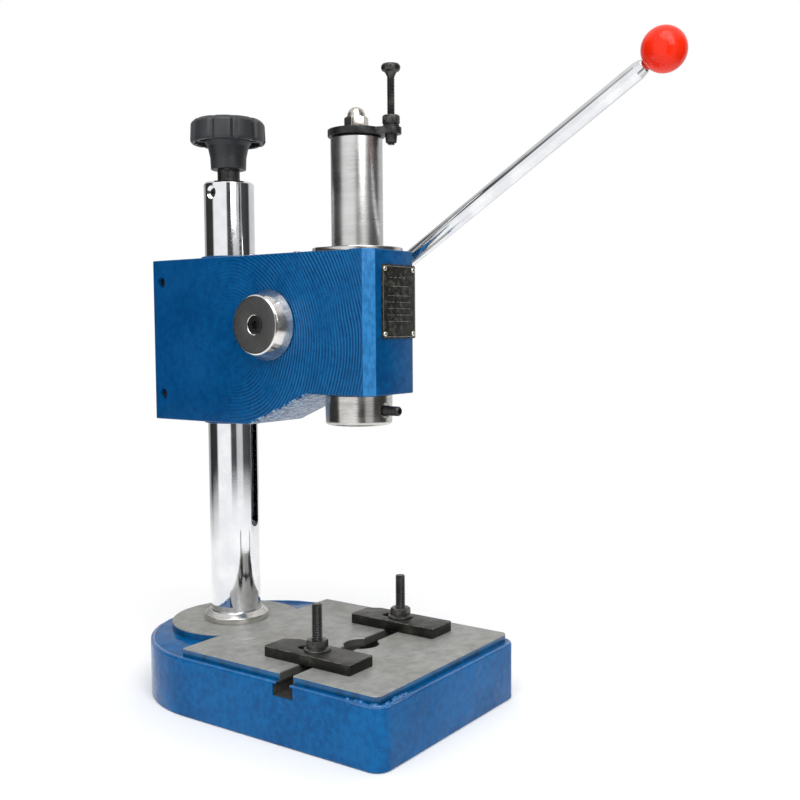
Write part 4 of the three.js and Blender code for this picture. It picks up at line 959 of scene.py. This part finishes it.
def make_column():
    top = COLUMN_HIGH[2]
    low = COLUMN_LOW[2]
    bar = spun(
        [(0, low), (COLUMN_R, low), (COLUMN_R, top - 1.5), (COLUMN_R - 1.5, top), (0, top)],
        [0, 0.6, 0.5, 0.5, 0], 160,
    )
    bore = disc(12, 96, top + 2, 96)
    slot_body = prism(slot_outline(10, 127, 316), 0, COLUMN_R + 6)
    slot = turned(turned(slot_body, TO_FRONT), Matrix.Rotation(math.radians(10), 4, "Z"))
    grub_z = cad_centre("bush_grub_screw")[2]
    grub_hole = moved(along_x(disc(3, 8, 30, SMALL), flip=True), z=grub_z)
    sink = lathe([(0, 14), (3, 14), (3, COLUMN_R - 2.2), (6.2, COLUMN_R + 1), (0, COLUMN_R + 1)], SMALL)
    grub_sink = moved(along_x(sink, flip=True), z=grub_z)
    column = shape("column_bar", bar, cut=[bore, slot, grub_hole, grub_sink])
    shift(column, y=COLUMN_Y)
    put(column, "base_body", "chrome", CHROME, "column")

    foot = cad_box("column_collar")[0][2]
    ring = spun(
        [(20.2, 0), (26, 0), (26, 4.4), (22.2, 7.6), (21.2, 8), (20.2, 8)], [0, 0.5, 0.8, 1.2, 0.3, 0.2],
        closed=True,
    )
    collar = shape("column_foot_ring", moved(ring, y=COLUMN_Y, z=foot))
    put(collar, "base_body", "chrome", HOLDER_STEEL, "column_collar")


def socket_cut(across_flats, low, high):
    return prism(hexagon(across_flats, 0.3), low, high)


def make_lift_screw():
    low, high = cad_box("lift_screw")
    middle = cad_box("thrust_collar")[0][2]
    rod = joined(
        thread(7.8, 4, low[2], middle, 40, 0.42),
        spun(
            [(0, middle - 1), (7.8, middle - 1), (7.8, high[2] - 1), (6.8, high[2]), (0, high[2])],
            [0, 0, 0.4, 0.4, 0], 64,
        ),
    )
    screw = shape("lift_screw_rod", moved(rod, y=COLUMN_Y))
    put(screw, "lift_body", "ground_steel", BARE_STEEL, "lift_screw")

    low, high = cad_box("thrust_collar")
    ring = spun(
        [(8.1, low[2]), (9.4, low[2]), (8.9, low[2] + 2.7), (8.9, high[2]), (8.1, high[2])],
        [0, 0.4, 0.5, 0.3, 0], 64, closed=True,
    )
    collar = shape("thrust_ring", moved(ring, y=COLUMN_Y))
    put(collar, "lift_body", "black_oxide", OXIDE, "thrust_collar")


def knob_wobble(angle, radius):
    """Ten shallow finger flutes round the rim, softened towards the middle."""
    wave = math.cos(10 * angle)
    dip = max(0.0, -0.50 - wave) * 3.9
    return dip * min(1.0, max(0.0, (radius - 21) / 6))


def make_knob():
    low, high = cad_box("lift_knob")
    foot, top = low[2], high[2]
    rim_low = top - 20
    radius = high[0] - 0.15
    outer = rounded(
        [
            (0, top - 0.4), (8.2, top - 0.4), (9.0, top - 1.0), (10.0, top - 0.9), (19, top - 0.5),
            (radius - 3.6, top - 1.8), (radius - 0.6, top - 4.6), (radius, rim_low + 2.2),
            (radius - 1.0, rim_low + 0.1), (26.6, rim_low), (26.0, rim_low + 0.8), (25.6, rim_low + 9),
            (19.2, rim_low + 9), (18.6, rim_low + 1.2), (16.2, rim_low - 2.4), (14.4, rim_low - 11),
            (14.0, foot + 0.4), (13.4, foot + 0.05), (8.3, foot + 0.05), (8.3, foot + 6), (0, foot + 6),
        ],
        [0, 0.3, 0.4, 0.3, 5, 3, 3, 1.0, 0.8, 0.3, 0.4, 1, 1, 0.8, 2, 2, 0.3, 0.3, 0.3, 0, 0],
        closed=False,
    )
    body = lathe(outer[::-1], 240, wobble=knob_wobble)
    ribs = []
    for i in range(6):
        rib = block(16.5, 26.6, -1.1, 1.1, rim_low + 1.6, rim_low + 10)
        ribs.append(turned(rib, Matrix.Rotation(math.radians(60 * i + 12), 4, "Z")))
    knob = shape("knob_body", moved(joined(body, *ribs), y=COLUMN_Y), smooth=30)
    put(knob, "lift_body", "black_plastic", KNOB_BLACK, "lift_knob")


# ---------------------------------------------------------------- head

def make_head():
    half = HEAD_HIGH[0]
    front = HEAD_LOW[1]
    back = HEAD_HIGH[1]
    top = HEAD_HIGH[2] - 2.5
    low = HEAD_LOW[2] + 2
    side = rounded(
        [
            (front, NOSE_Z), (SLOPE_START_Y, NOSE_Z), (SLOPE_END_Y, low), (back, low), (back, top),
            (front, top),
        ],
        [0, 6, 8, 0, 0, 0], steps=5,
    )
    corner = HEAD_CORNER
    plan = [
        (-half + corner, front), (half - corner, front), (half, front + corner), (half, back),
        (-half, back), (-half, front + corner),
    ]
    profile = turned(prism(side, -half - 3, half + 3), SIDE_ON)
    ring = rounded([(20.4, 0), (23, 0), (23, 1.6), (22.4, 2), (20.4, 2)], [0, 0, 0.5, 0.5, 0.3])
    column_bore = moved(disc(20.3, low - 9, top + 9), y=COLUMN_Y)
    ram_bore = moved(disc(19.3, NOSE_Z - 9, top + 9), y=RAM_Y)
    slit = block(-1.5, 1.5, COLUMN_Y, back + 5, low - 9, top + 9)
    case = block(-14, 14, -46, 40, 239.9, 336)
    mouth = block(-14, 14, -14, 40, 239.9, top + 9)
    seat = block(-21, 21, -17, 44, top - 3, top + 9)
    shaft_bore = moved(along_x(disc(13.2, -40, 40)), y=SHAFT_Y, z=SHAFT_Z)
    cutters = [column_bore, ram_bore, slit, case, mouth, seat, shaft_bore]
    for name in ("upper", "lower"):
        y, z = joint_place(f"{name}_clamp_screw_turn")[1:]
        cutters.append(moved(along_x(disc(4.3, -40, 40, SMALL)), y=y, z=z))
        cutters.append(moved(along_x(disc(7, 20, 40, SMALL)), y=y, z=z))
    head = shape(
        "head_body_casting", prism(plan, low - 2, top + 2), common=[profile], edge=1.0, cut=cutters,
    )
    put(head, "head_body", "blue_enamel", HEAD_BLUE, "head_casting")

    for name, z0, flip in (("upper", top, 1), ("lower", low, -1)):
        points = [(r, z0 + flip * h) for r, h in ring]
        boss = shape(f"head_column_ring_{name}", moved(lathe(points, FINE, closed=True), y=COLUMN_Y))
        put(boss, "head_body", "blue_enamel", COVER_BLUE)
    ram_ring = spun(
        [(19.4, top - 1), (33.3, top - 1), (33.3, top + 2.5), (19.4, top + 2.5)], [0, 0, 0.6, 0.4],
        closed=True,
    )
    plan_inner = [(x * 0.995, y) for x, y in plan]
    boss = shape(
        "head_ram_ring", moved(ram_ring, y=RAM_Y),
        common=[prism(plan_inner, top - 5, top + 8)], last_edge=0.3,
    )
    put(boss, "head_body", "blue_enamel", HOLDER_STEEL)


def make_cover():
    low, high = cad_box("gear_cover")
    relief = moved(disc(34.3, low[2] - 3, high[2] + 3), y=RAM_Y)
    holes = []
    screws = [f"cover_screw_{name}" for name in ("front_left", "front_right", "rear_left", "rear_right")]
    for name in screws:
        x, y = cad_centre(name)[:2]
        holes.append(moved(disc(2.2, low[2] - 3, high[2] + 3, SMALL), x=x, y=y))
    plate = prism(rounded(rectangle(low[0], high[0], low[1], high[1]), 3), low[2], high[2])
    cover = shape("gear_cover_plate", plate, edge=0.5, cut=[relief, *holes])
    put(cover, "head_body", "blue_enamel", COVER_BLUE, "gear_cover")
    for name in screws:
        x, y = cad_centre(name)[:2]
        top = cad_box(name)[1][2]
        dome = lathe(
            [
                (0, top - 5), (1.8, top - 5), (1.8, top - 1.8), (3.1, top - 1.8), (3.15, top - 1.4),
                (2.8, top - 0.8), (2.1, top - 0.3), (1.1, top - 0.06), (0, top),
            ],
            SMALL,
        )
        groove = turned(block(-4, 4, -0.35, 0.35, top - 0.7, top + 1), Matrix.Rotation(x + y, 4, "Z"))
        screw = shape(name + "_head", moved(dome, x=x, y=y), cut=[moved(groove, x=x, y=y)])
        put(screw, "head_body", "nickel", NICKEL, name)


def make_nameplate():
    low, high = cad_box("nameplate")
    front, back = low[1], high[1]
    outline = rounded(rectangle(low[0], high[0], low[2], high[2]), 1.6)
    sheet = turned(prism(outline, front + 0.12, back), FACE_ON)
    plate = shape("nameplate_sheet", sheet, edge=0.15)
    put(plate, "head_body", "nameplate", PLATE_GROUND, "nameplate")

    def bar(x0, x1, z0, z1):
        return block(x0, x1, front, front + 0.3, z0, z1)

    inset = 1.1
    line = 0.45
    x0, x1 = low[0] + inset, high[0] - inset
    z0, z1 = low[2] + inset, high[2] - inset
    strips = [
        bar(x0, x1, z0, z0 + line), bar(x0, x1, z1 - line, z1),
        bar(x0, x0 + line, z0, z1), bar(x1 - line, x1, z0, z1),
    ]
    rows = 5
    field_top = z1 - 21
    for row in range(rows):
        z = field_top - row * 4.6
        strips.append(bar(x0 + 5.5, x0 + 13.5, z - 0.3, z))
        strips.append(bar(x0 + 16, x1 - 5.5, z - 0.3, z))
    for turn in range(4):
        strips.append(bar(x0 + 8 + turn * 5.4, x0 + 11 + turn * 5.4, z1 - 8.4, z1 - 8.0))
    strips.append(bar(x0 + 8, x1 - 8, z1 - 14.6, z1 - 14.2))
    relief = shape("nameplate_lines", joined(*strips))
    put(relief, "head_body", "nameplate", PLATE_SILVER)

    for corner in ("upper_left", "upper_right", "lower_left", "lower_right"):
        name = f"nameplate_rivet_{corner}"
        x, z = cad_centre(name)[::2]
        face = cad_box(name)[0][1]
        dome = lathe(
            [(0, 0), (0.6, 0.02), (1.3, 0.2), (1.75, 0.65), (1.85, 1.1), (0.9, 1.1), (0.9, 1.6), (0, 1.6)],
            SMALL,
        )
        piece = shape(name + "_dome", moved(turned(dome, FACE_ON), x=x, y=face, z=z))
        put(piece, "head_body", "nickel", NICKEL, name)


def socket_screw(head_height, length):
    """An M8 socket screw with its head above z = 0: the body, and the cutter for its socket."""
    body = spun(
        [(0, -length), (3.9, -length), (3.9, 0), (6.5, 0), (6.5, head_height), (0, head_height)],
        [0, 0.5, 0, 0.2, 0.8, 0], SMALL,
    )
    return body, socket_cut(6, head_height * 0.4, head_height + 1)


def make_clamp_screws():
    for name in ("upper", "lower"):
        node = f"head_clamp_screw_{name}"
        low, high = cad_box(node)
        seat = high[0] - 8
        body, socket = socket_screw(8, seat - low[0])
        y, z = cad_centre(node)[1:]
        screw = shape(
            f"clamp_screw_{name}", moved(along_x(body), x=seat, y=y, z=z),
            cut=[moved(along_x(socket), x=seat, y=y, z=z)],
        )
        put(screw, f"{name}_clamp_screw_body", "black_oxide", OXIDE, node)


# ---------------------------------------------------------------- spring cap and lever

def make_spring_cap():
    low, high = cad_box("spring_cap")
    back = -high[0]
    face = -low[0]
    rim = high[1] - SHAFT_Y
    shell = spun(
        [
            (8.2, back), (11, back + 0.4), (11, face - 3), (22.6, face - 3), (22.6, back + 0.2),
            (rim, back + 0.2), (rim, back + 1.2), (22.4, face - 1.0), (21.4, face), (7.7, face),
            (7.2, face - 0.5), (7.2, face - 5.5), (4.3, face - 5.5), (4.3, face - 8), (8.2, face - 8),
        ],
        [0, 0, 0.3, 0.3, 0.2, 0.3, 0.5, 0.5, 0.25, 0.2, 0.2, 0.2, 0, 0, 0], closed=True, steps=3,
    )
    cap = shape("spring_cap_shell", moved(along_x(shell, flip=True), y=SHAFT_Y, z=SHAFT_Z))
    put(cap, "lever_body", "chrome", CAP_METAL, "spring_cap")

    low, high = cad_box("cap_screw")
    body, socket = socket_screw(4.6, 14)
    seat = low[0] + 4.6
    screw = shape(
        "cap_screw_body", moved(along_x(body, flip=True), x=seat, y=SHAFT_Y, z=SHAFT_Z),
        cut=[moved(along_x(socket, flip=True), x=seat, y=SHAFT_Y, z=SHAFT_Z)],
    )
    put(screw, "lever_body", "black_oxide", OXIDE, "cap_screw")


def make_lever():
    hub_low, hub_high = cad_box("lever_hub")
    ball = Vector(cad_centre("lever_ball"))
    lever_x = ball.x
    direction = Vector((0, ball.y - SHAFT_Y, ball.z - SHAFT_Z))
    length = direction.length
    tilt = Vector((0, 0, 1)).rotation_difference(direction).to_matrix().to_4x4()

    radius = hub_high[2] - SHAFT_Z
    hub_ring = spun(
        [(10.15, hub_low[0]), (radius, hub_low[0]), (radius, hub_high[0]), (10.15, hub_high[0])],
        [0, 1.5, 2.0, 0.3], closed=True,
    )
    rod_hole = turned(moved(disc(7.8, radius - 1.6, 30, SMALL), x=lever_x), tilt)
    grub_hole = moved(disc(3.1, -30, 0, SMALL), x=lever_x + 8)
    hub = shape("lever_hub_body", along_x(hub_ring), cut=[rod_hole, grub_hole], last_edge=0.25)
    shift(hub, y=SHAFT_Y, z=SHAFT_Z)
    put(hub, "lever_body", "ground_steel", HUB_STEEL, "lever_hub")

    bar = spun(
        [
            (0, 11), (4.9, 11), (4.9, radius - 1.2), (6, radius - 0.6), (6, length - 21), (5, length - 16),
            (3.8, length - 14), (3.8, length + 4), (0, length + 4),
        ],
        [0, 0, 0, 0.3, 1.5, 1.0, 0.4, 0, 0], 64,
    )
    rod = shape("lever_rod_bar", turned(moved(bar, x=lever_x), tilt))
    shift(rod, y=SHAFT_Y, z=SHAFT_Z)
    put(rod, "lever_body", "chrome", CHROME, "lever_rod")

    ball_r = cad_box("lever_ball")[1][2] - ball.z
    seat = math.degrees(math.asin(5.4 / ball_r))
    points = [(4.1, length - 2), (4.1, length - ball_r * math.cos(math.radians(seat)) + 0.6)]
    for i in range(49):
        angle = math.radians(seat + 2 + (178 - seat) * i / 48)
        points.append((max(ball_r * math.sin(angle), 0), length - ball_r * math.cos(angle)))
    points[-1] = (0, length + ball_r)
    sphere = shape("lever_ball_body", turned(moved(lathe([(0, length - 2), *points], 96), x=lever_x), tilt))
    shift(sphere, y=SHAFT_Y, z=SHAFT_Z)
    put(sphere, "lever_body", "red_plastic", BALL_RED, "lever_ball")


# ---------------------------------------------------------------- ram

def rack_gaps():
    """Cutters for the straight-sided rack teeth on the back of the ram."""
    pitch = 2 * math.pi
    pitch_line = SHAFT_Y - RAM_Y - 47
    tip, root = RAM_R + 2, pitch_line - 2.2
    slope = math.tan(math.radians(20))
    half = pitch * 0.29
    gaps = []
    for gap in range(-3, 13):
        z = SHAFT_Z + (gap + 0.5) * pitch
        narrow = half - (pitch_line - root) * slope
        wide = half + (tip - pitch_line) * slope
        outline = [(root, z - narrow), (tip, z - wide), (tip, z + wide), (root, z + narrow)]
        gaps.append(turned(prism(outline, -RAM_R, RAM_R), SIDE_ON))
    flat = block(-RAM_R, RAM_R, pitch_line + 2, RAM_R + 2, SHAFT_Z - 2.75 * pitch, SHAFT_Z + 12.75 * pitch)
    return joined(*gaps), flat


def make_ram():
    foot = cad_box("tool_holder")[1][2] + 0.4
    top = RAM_HIGH[2]
    bar = spun(
        [
            (0, RAM_LOW[2]), (15, RAM_LOW[2]), (15, foot), (RAM_R, foot), (RAM_R, top - 1.5),
            (RAM_R - 1.5, top), (0, top),
        ],
        [0, 0, 0, 0.3, 0.4, 0.4, 0],
    )
    gaps, flat = rack_gaps()
    bore = disc(6.1, RAM_LOW[2] - 3, 262, SMALL)
    ram = shape("ram_bar", bar, cut=[bore, flat, gaps])
    shift(ram, y=RAM_Y)
    put(ram, "ram_body", "ground_steel", RAM_STEEL, "ram")

    low, high = cad_box("tool_holder")
    radius = high[0]
    top = high[2]
    cup = spun(
        [(0, low[2]), (radius - 0.3, low[2]), (radius, top - 0.2), (radius - 0.4, top), (0, top)],
        [0, 3.4, 0.3, 0.4, 0], steps=7,
    )
    screw_z = joint_place("tool_screw_turn")[2]
    socket = disc(15.3, top - 4.9, top + 1)
    tool_bore = disc(6, low[2] - 1, top)
    screw_hole = moved(turned(disc(4.1, 3, 30, SMALL), TO_FRONT), z=screw_z)
    screw_seat = moved(turned(disc(5.8, 22.5, 30, SMALL), TO_FRONT), z=screw_z)
    holder = shape("tool_holder_body", cup, cut=[socket, tool_bore, screw_hole, screw_seat])
    shift(holder, y=RAM_Y)
    put(holder, "ram_body", "ground_steel", HOLDER_STEEL, "tool_holder")

    end = RAM_Y - cad_box("tool_clamp_screw")[0][1]
    stem = spun(
        [(0, 7), (3.8, 7), (3.8, 27), (3.5, 27.4), (3.5, end - 1.2), (2.6, end), (0, end)],
        [0, 0.4, 0, 0, 0.3, 0.3, 0], SMALL,
    )
    screw = shape(
        "tool_screw_bar", moved(turned(stem, TO_FRONT), y=RAM_Y, z=screw_z),
        cut=[moved(turned(socket_cut(4, end - 4, end + 1), TO_FRONT), y=RAM_Y, z=screw_z)],
    )
    put(screw, "tool_screw_body", "black_oxide", OXIDE, "tool_clamp_screw")


def nut_data(across_flats, height, bore, turn):
    """A hexagon nut with its corners chamfered top and bottom: data, crown to intersect, bore to cut."""
    outer = across_flats / math.sqrt(3)
    crown = lathe([
        (0, 0), (outer - 1.1, 0), (outer - 0.5, 0.35), (outer + 0.05, 0.95), (outer + 0.05, height - 0.95),
        (outer - 0.5, height - 0.35), (outer - 1.1, height), (0, height),
    ], SMALL)
    return prism(hexagon(across_flats, turn), -0.01, height + 0.01), crown, disc(bore, -1, height + 1, SMALL)


def make_stop():
    low, high = cad_box("stop_plate")
    bolt_x, bolt_y = cad_centre("stop_bolt")[:2]
    away = Vector((bolt_x, bolt_y - RAM_Y))
    angle = math.degrees(math.atan2(away.y, away.x))
    plate_top = high[2]
    outline = arc(0, 0, 21, angle + 24, angle - 24 + 360, 72)
    outline += arc(away.x, away.y, 7.5, angle - 100, angle + 100, 24)
    bolt_hole = moved(disc(3.1, low[2] - 2, plate_top + 2, SMALL), x=away.x, y=away.y)
    spigot = spun(
        [(0, low[2]), (3.9, low[2]), (4.6, plate_top - 4), (0, plate_top - 4)], [0, 0.5, 0, 0], SMALL
    )
    plate = shape(
        "stop_plate_body", prism(outline, plate_top - 5, plate_top), edge=0.55,
        add=[moved(spigot, x=away.x, y=away.y)], cut=[disc(4.8, low[2], plate_top + 2, SMALL), bolt_hole],
    )
    shift(plate, y=RAM_Y)
    put(plate, "ram_body", "black_oxide", OXIDE, "stop_plate")

    low, high = cad_box("dome_nut")
    hexagon_part, crown, bore = nut_data(15.4, 9, 4.5, 0.25)
    nut = shape("dome_nut_hexagon", hexagon_part, common=[crown], cut=[bore], last_edge=0.15)
    shift(nut, y=RAM_Y, z=low[2])
    put(nut, "ram_body", "nickel", NICKEL, "dome_nut")
    rise = high[2] - low[2]
    dome = spun(
        [(4.6, 7.8), (6.9, 7.8), (6.75, 9.6), (6.2, 12), (5.0, rise - 2.0), (3.0, rise - 0.5), (0, rise)],
        [0, 0, 0.8, 2, 2, 2, 0], SMALL,
    )
    top = shape("dome_nut_cap", moved(dome, y=RAM_Y, z=low[2]))
    put(top, "ram_body", "nickel", NICKEL)

    foot = cad_box("stop_washer")[0][2]
    ring = spun([(3.1, 0), (6, 0), (6, 1.6), (3.1, 1.6)], [0, 0.2, 0.5, 0.2], SMALL, closed=True)
    washer = shape("stop_washer_ring", moved(ring, x=bolt_x, y=bolt_y, z=foot))
    put(washer, "ram_body", "black_oxide", OXIDE, "stop_washer")

    foot = cad_box("stop_lock_nut")[0][2]
    hexagon_part, crown, bore = nut_data(11, 6.6, 3.1, 0.1)
    lock = shape("stop_lock_nut_body", hexagon_part, common=[crown], cut=[bore], last_edge=0.12)
    shift(lock, bolt_x, bolt_y, foot)
    put(lock, "stop_nut_body", "black_oxide", NUT_STEEL, "stop_lock_nut")

    low, high = cad_box("stop_bolt")
    top = high[2]
    head = spun(
        [
            (0, top - 9.6), (2.5, top - 9.6), (2.9, top - 8.4), (4.2, top - 5.8), (6.2, top - 4.6),
            (6.95, top - 3.2), (6.95, top - 1.6), (6, top), (0, top),
        ],
        [0, 0, 0.6, 1.2, 0.8, 0.7, 0.8, 0.9, 0], SMALL,
    )
    rod = joined(thread(2.85, 1.0, low[2], top - 9, 32), head)
    bolt = shape("stop_bolt_body_piece", moved(rod, x=bolt_x, y=bolt_y))
    put(bolt, "stop_bolt_body", "black_oxide", THREAD_OXIDE, "stop_bolt")


# ---------------------------------------------------------------- work clamps

def make_work_clamp(side):
    stud_x, stud_y = cad_centre(f"clamp_bolt_{side}")[:2]
    low, high = cad_box(f"clamp_bolt_{side}")
    reach = high[0] - stud_x
    head_top = LEDGE_Z - 1.5
    square = rectangle(-reach, reach, -reach, reach)
    tee = moved(prism(rounded(square, 1), low[2], head_top), x=stud_x, y=stud_y)
    head = shape(f"clamp_tee_{side}", tee, edge=0.5)
    put(head, f"{side}_clamp_body", "black_oxide", OXIDE)
    stud = shape(
        f"clamp_stud_{side}", moved(thread(3.9, 1.25, head_top - 1, high[2], 36), x=stud_x, y=stud_y)
    )
    put(stud, f"{side}_clamp_body", "black_oxide", THREAD_OXIDE, f"clamp_bolt_{side}")

    low, high = cad_box(f"clamp_strap_{side}")
    half = (high[0] - low[0]) / 2
    front = low[1] - stud_y
    back = high[1] - stud_y
    outline = rounded(
        [(half, front), (half, back - 11), (half - 6, back), (-half, back), (-half, front)],
        [1.2, 0.8, 0.8, 2.0, 1.2],
    )
    hole = arc(0, 12, 4.8, 0, 180, 12) + arc(0, -4, 4.8, 180, 360, 12)
    strap = shape(
        f"clamp_strap_{side}_bar", prism(outline, low[2], high[2]), edge=0.7,
        cut=[prism(hole, low[2] - 1, high[2] + 1)],
    )
    shift(strap, stud_x, stud_y)
    put(strap, f"{side}_strap_body", "black_oxide", STRAP_STEEL, f"clamp_strap_{side}")

    foot = cad_box(f"clamp_nut_{side}")[0][2]
    hexagon_part, crown, bore = nut_data(14, 7.8, 4.15, 0.4 if side == "left" else 0.15)
    flange = spun(
        [(4.2, 0), (9.8, 0), (9.8, 1.2), (7.2, 2.4), (4.2, 2.4)], [0, 0.2, 0.5, 0.5, 0], SMALL, closed=True
    )
    nut = shape(
        f"clamp_nut_{side}_body", hexagon_part, common=[crown], cut=[bore], last_edge=0.15,
    )
    shift(nut, stud_x, stud_y, foot)
    put(nut, f"{side}_nut_body", "black_oxide", NUT_STEEL, f"clamp_nut_{side}")
    skirt = shape(f"clamp_nut_{side}_flange", moved(flange, x=stud_x, y=stud_y, z=foot))
    put(skirt, f"{side}_nut_body", "black_oxide", NUT_STEEL)


# ---------------------------------------------------------------- studio

def make_floor():
    """A round pale floor; its edge fades into the backdrop."""
    data = lathe([(0, -0.2), (300, -0.2), (600, -0.2), (1100, -0.2)], 96)
    floor = mesh_object("studio_floor", data)
    floor.data.materials.append(floor_paper())


def make_world():
    """White behind the object; reflections see a soft studio with darker gaps between the lights."""
    world = bpy.data.worlds.new("studio")
    bpy.context.scene.world = world
    world.use_nodes = True
    tree = world.node_tree
    nodes = tree.nodes
    nodes.clear()

    def add(kind, **settings):
        node = nodes.new(kind)
        for key, value in settings.items():
            setattr(node, key, value)
        return node

    place = add("ShaderNodeTexCoord")
    axes = add("ShaderNodeSeparateXYZ")
    tree.links.new(place.outputs["Generated"], axes.inputs[0])
    azimuth = add("ShaderNodeMath", operation="ARCTAN2")
    tree.links.new(axes.outputs["Y"], azimuth.inputs[0])
    tree.links.new(axes.outputs["X"], azimuth.inputs[1])
    share = add("ShaderNodeMapRange")
    tree.links.new(azimuth.outputs[0], share.inputs["Value"])
    share.inputs["From Min"].default_value = -math.pi
    share.inputs["From Max"].default_value = math.pi
    bands = add("ShaderNodeValToRGB")
    tree.links.new(share.outputs[0], bands.inputs[0])
    ramp = bands.color_ramp
    ramp.interpolation = "EASE"
    while len(ramp.elements) < len(WORLD_BANDS):
        ramp.elements.new(0.5)
    for element, (angle, level) in zip(ramp.elements, WORLD_BANDS):
        element.position = (angle + 180) / 360
        element.color = (level, level, level * 1.01, 1)
    height = add("ShaderNodeMapRange", interpolation_type="SMOOTHSTEP")
    tree.links.new(axes.outputs["Z"], height.inputs["Value"])
    height.inputs["From Min"].default_value = 0.35
    height.inputs["From Max"].default_value = 0.75
    overhead = add("ShaderNodeMix", data_type="RGBA")
    tree.links.new(height.outputs[0], overhead.inputs[0])
    tree.links.new(bands.outputs[0], overhead.inputs[6])
    overhead.inputs[7].default_value = (1.0, 1.0, 1.0, 1)
    seen = add("ShaderNodeBackground")
    seen.inputs[0].default_value = (1, 1, 1, 1)
    seen.inputs[1].default_value = 1.0
    felt = add("ShaderNodeBackground")
    tree.links.new(overhead.outputs[2], felt.inputs[0])
    felt.inputs[1].default_value = 0.85
    ray = add("ShaderNodeLightPath")
    choose = add("ShaderNodeMixShader")
    tree.links.new(ray.outputs["Is Camera Ray"], choose.inputs[0])
    tree.links.new(felt.outputs[0], choose.inputs[1])
    tree.links.new(seen.outputs[0], choose.inputs[2])
    output = add("ShaderNodeOutputWorld")
    tree.links.new(choose.outputs[0], output.inputs[0])


def add_light(name, place, target, size, power):
    data = bpy.data.lights.new(name, "AREA")
    data.shape = "RECTANGLE"
    data.size, data.size_y = size
    data.energy = power
    light = bpy.data.objects.new(name, data)
    light.location = place
    light.rotation_euler = (Vector(target) - Vector(place)).to_track_quat("-Z", "Y").to_euler()
    bpy.context.scene.collection.objects.link(light)


def make_lights():
    """A soft sun from the upper front left gives the shading; one softbox gives the long highlights."""
    data = bpy.data.lights.new("soft_sun", "SUN")
    data.energy = 1.5
    data.angle = math.radians(50)
    sun = bpy.data.objects.new("soft_sun", data)
    sun.rotation_euler = Vector((0.55, 0.40, -1.0)).to_track_quat("-Z", "Y").to_euler()
    bpy.context.scene.collection.objects.link(sun)
    add_light("front_softbox", (-0.9, -1.7, 1.3), (0, 0, 0.25), (0.9, 1.2), 12)


def make_camera():
    """Camera at the front left, a little above the middle of the press."""
    level_share = math.cos(CAMERA_PITCH)
    forward = Vector((
        math.cos(CAMERA_YAW) * level_share, math.sin(CAMERA_YAW) * level_share, -math.sin(CAMERA_PITCH)
    ))
    level = forward.cross(Vector((0, 0, 1))).normalized()
    upright = level.cross(forward)
    right = level * math.cos(CAMERA_ROLL) + upright * math.sin(CAMERA_ROLL)
    up = upright * math.cos(CAMERA_ROLL) - level * math.sin(CAMERA_ROLL)
    data = bpy.data.cameras.new("camera")
    data.sensor_width = 36
    data.lens = CAMERA_LENS
    data.clip_start = 0.05
    data.clip_end = 100
    camera = bpy.data.objects.new("camera", data)
    place = Matrix((right, up, -forward)).transposed().to_4x4()
    place.translation = CAMERA_PLACE * MM
    camera.matrix_world = place
    bpy.context.scene.collection.objects.link(camera)
    bpy.context.scene.camera = camera


finish_cad_nodes()
make_base()
make_column()
make_lift_screw()
make_knob()
make_head()
make_cover()
make_nameplate()
make_clamp_screws()
make_spring_cap()
make_lever()
make_ram()
make_stop()
make_work_clamp("left")
make_work_clamp("right")
make_floor()
make_world()
make_lights()
make_camera()
bpy.context.scene.view_settings.view_transform = "Standard"
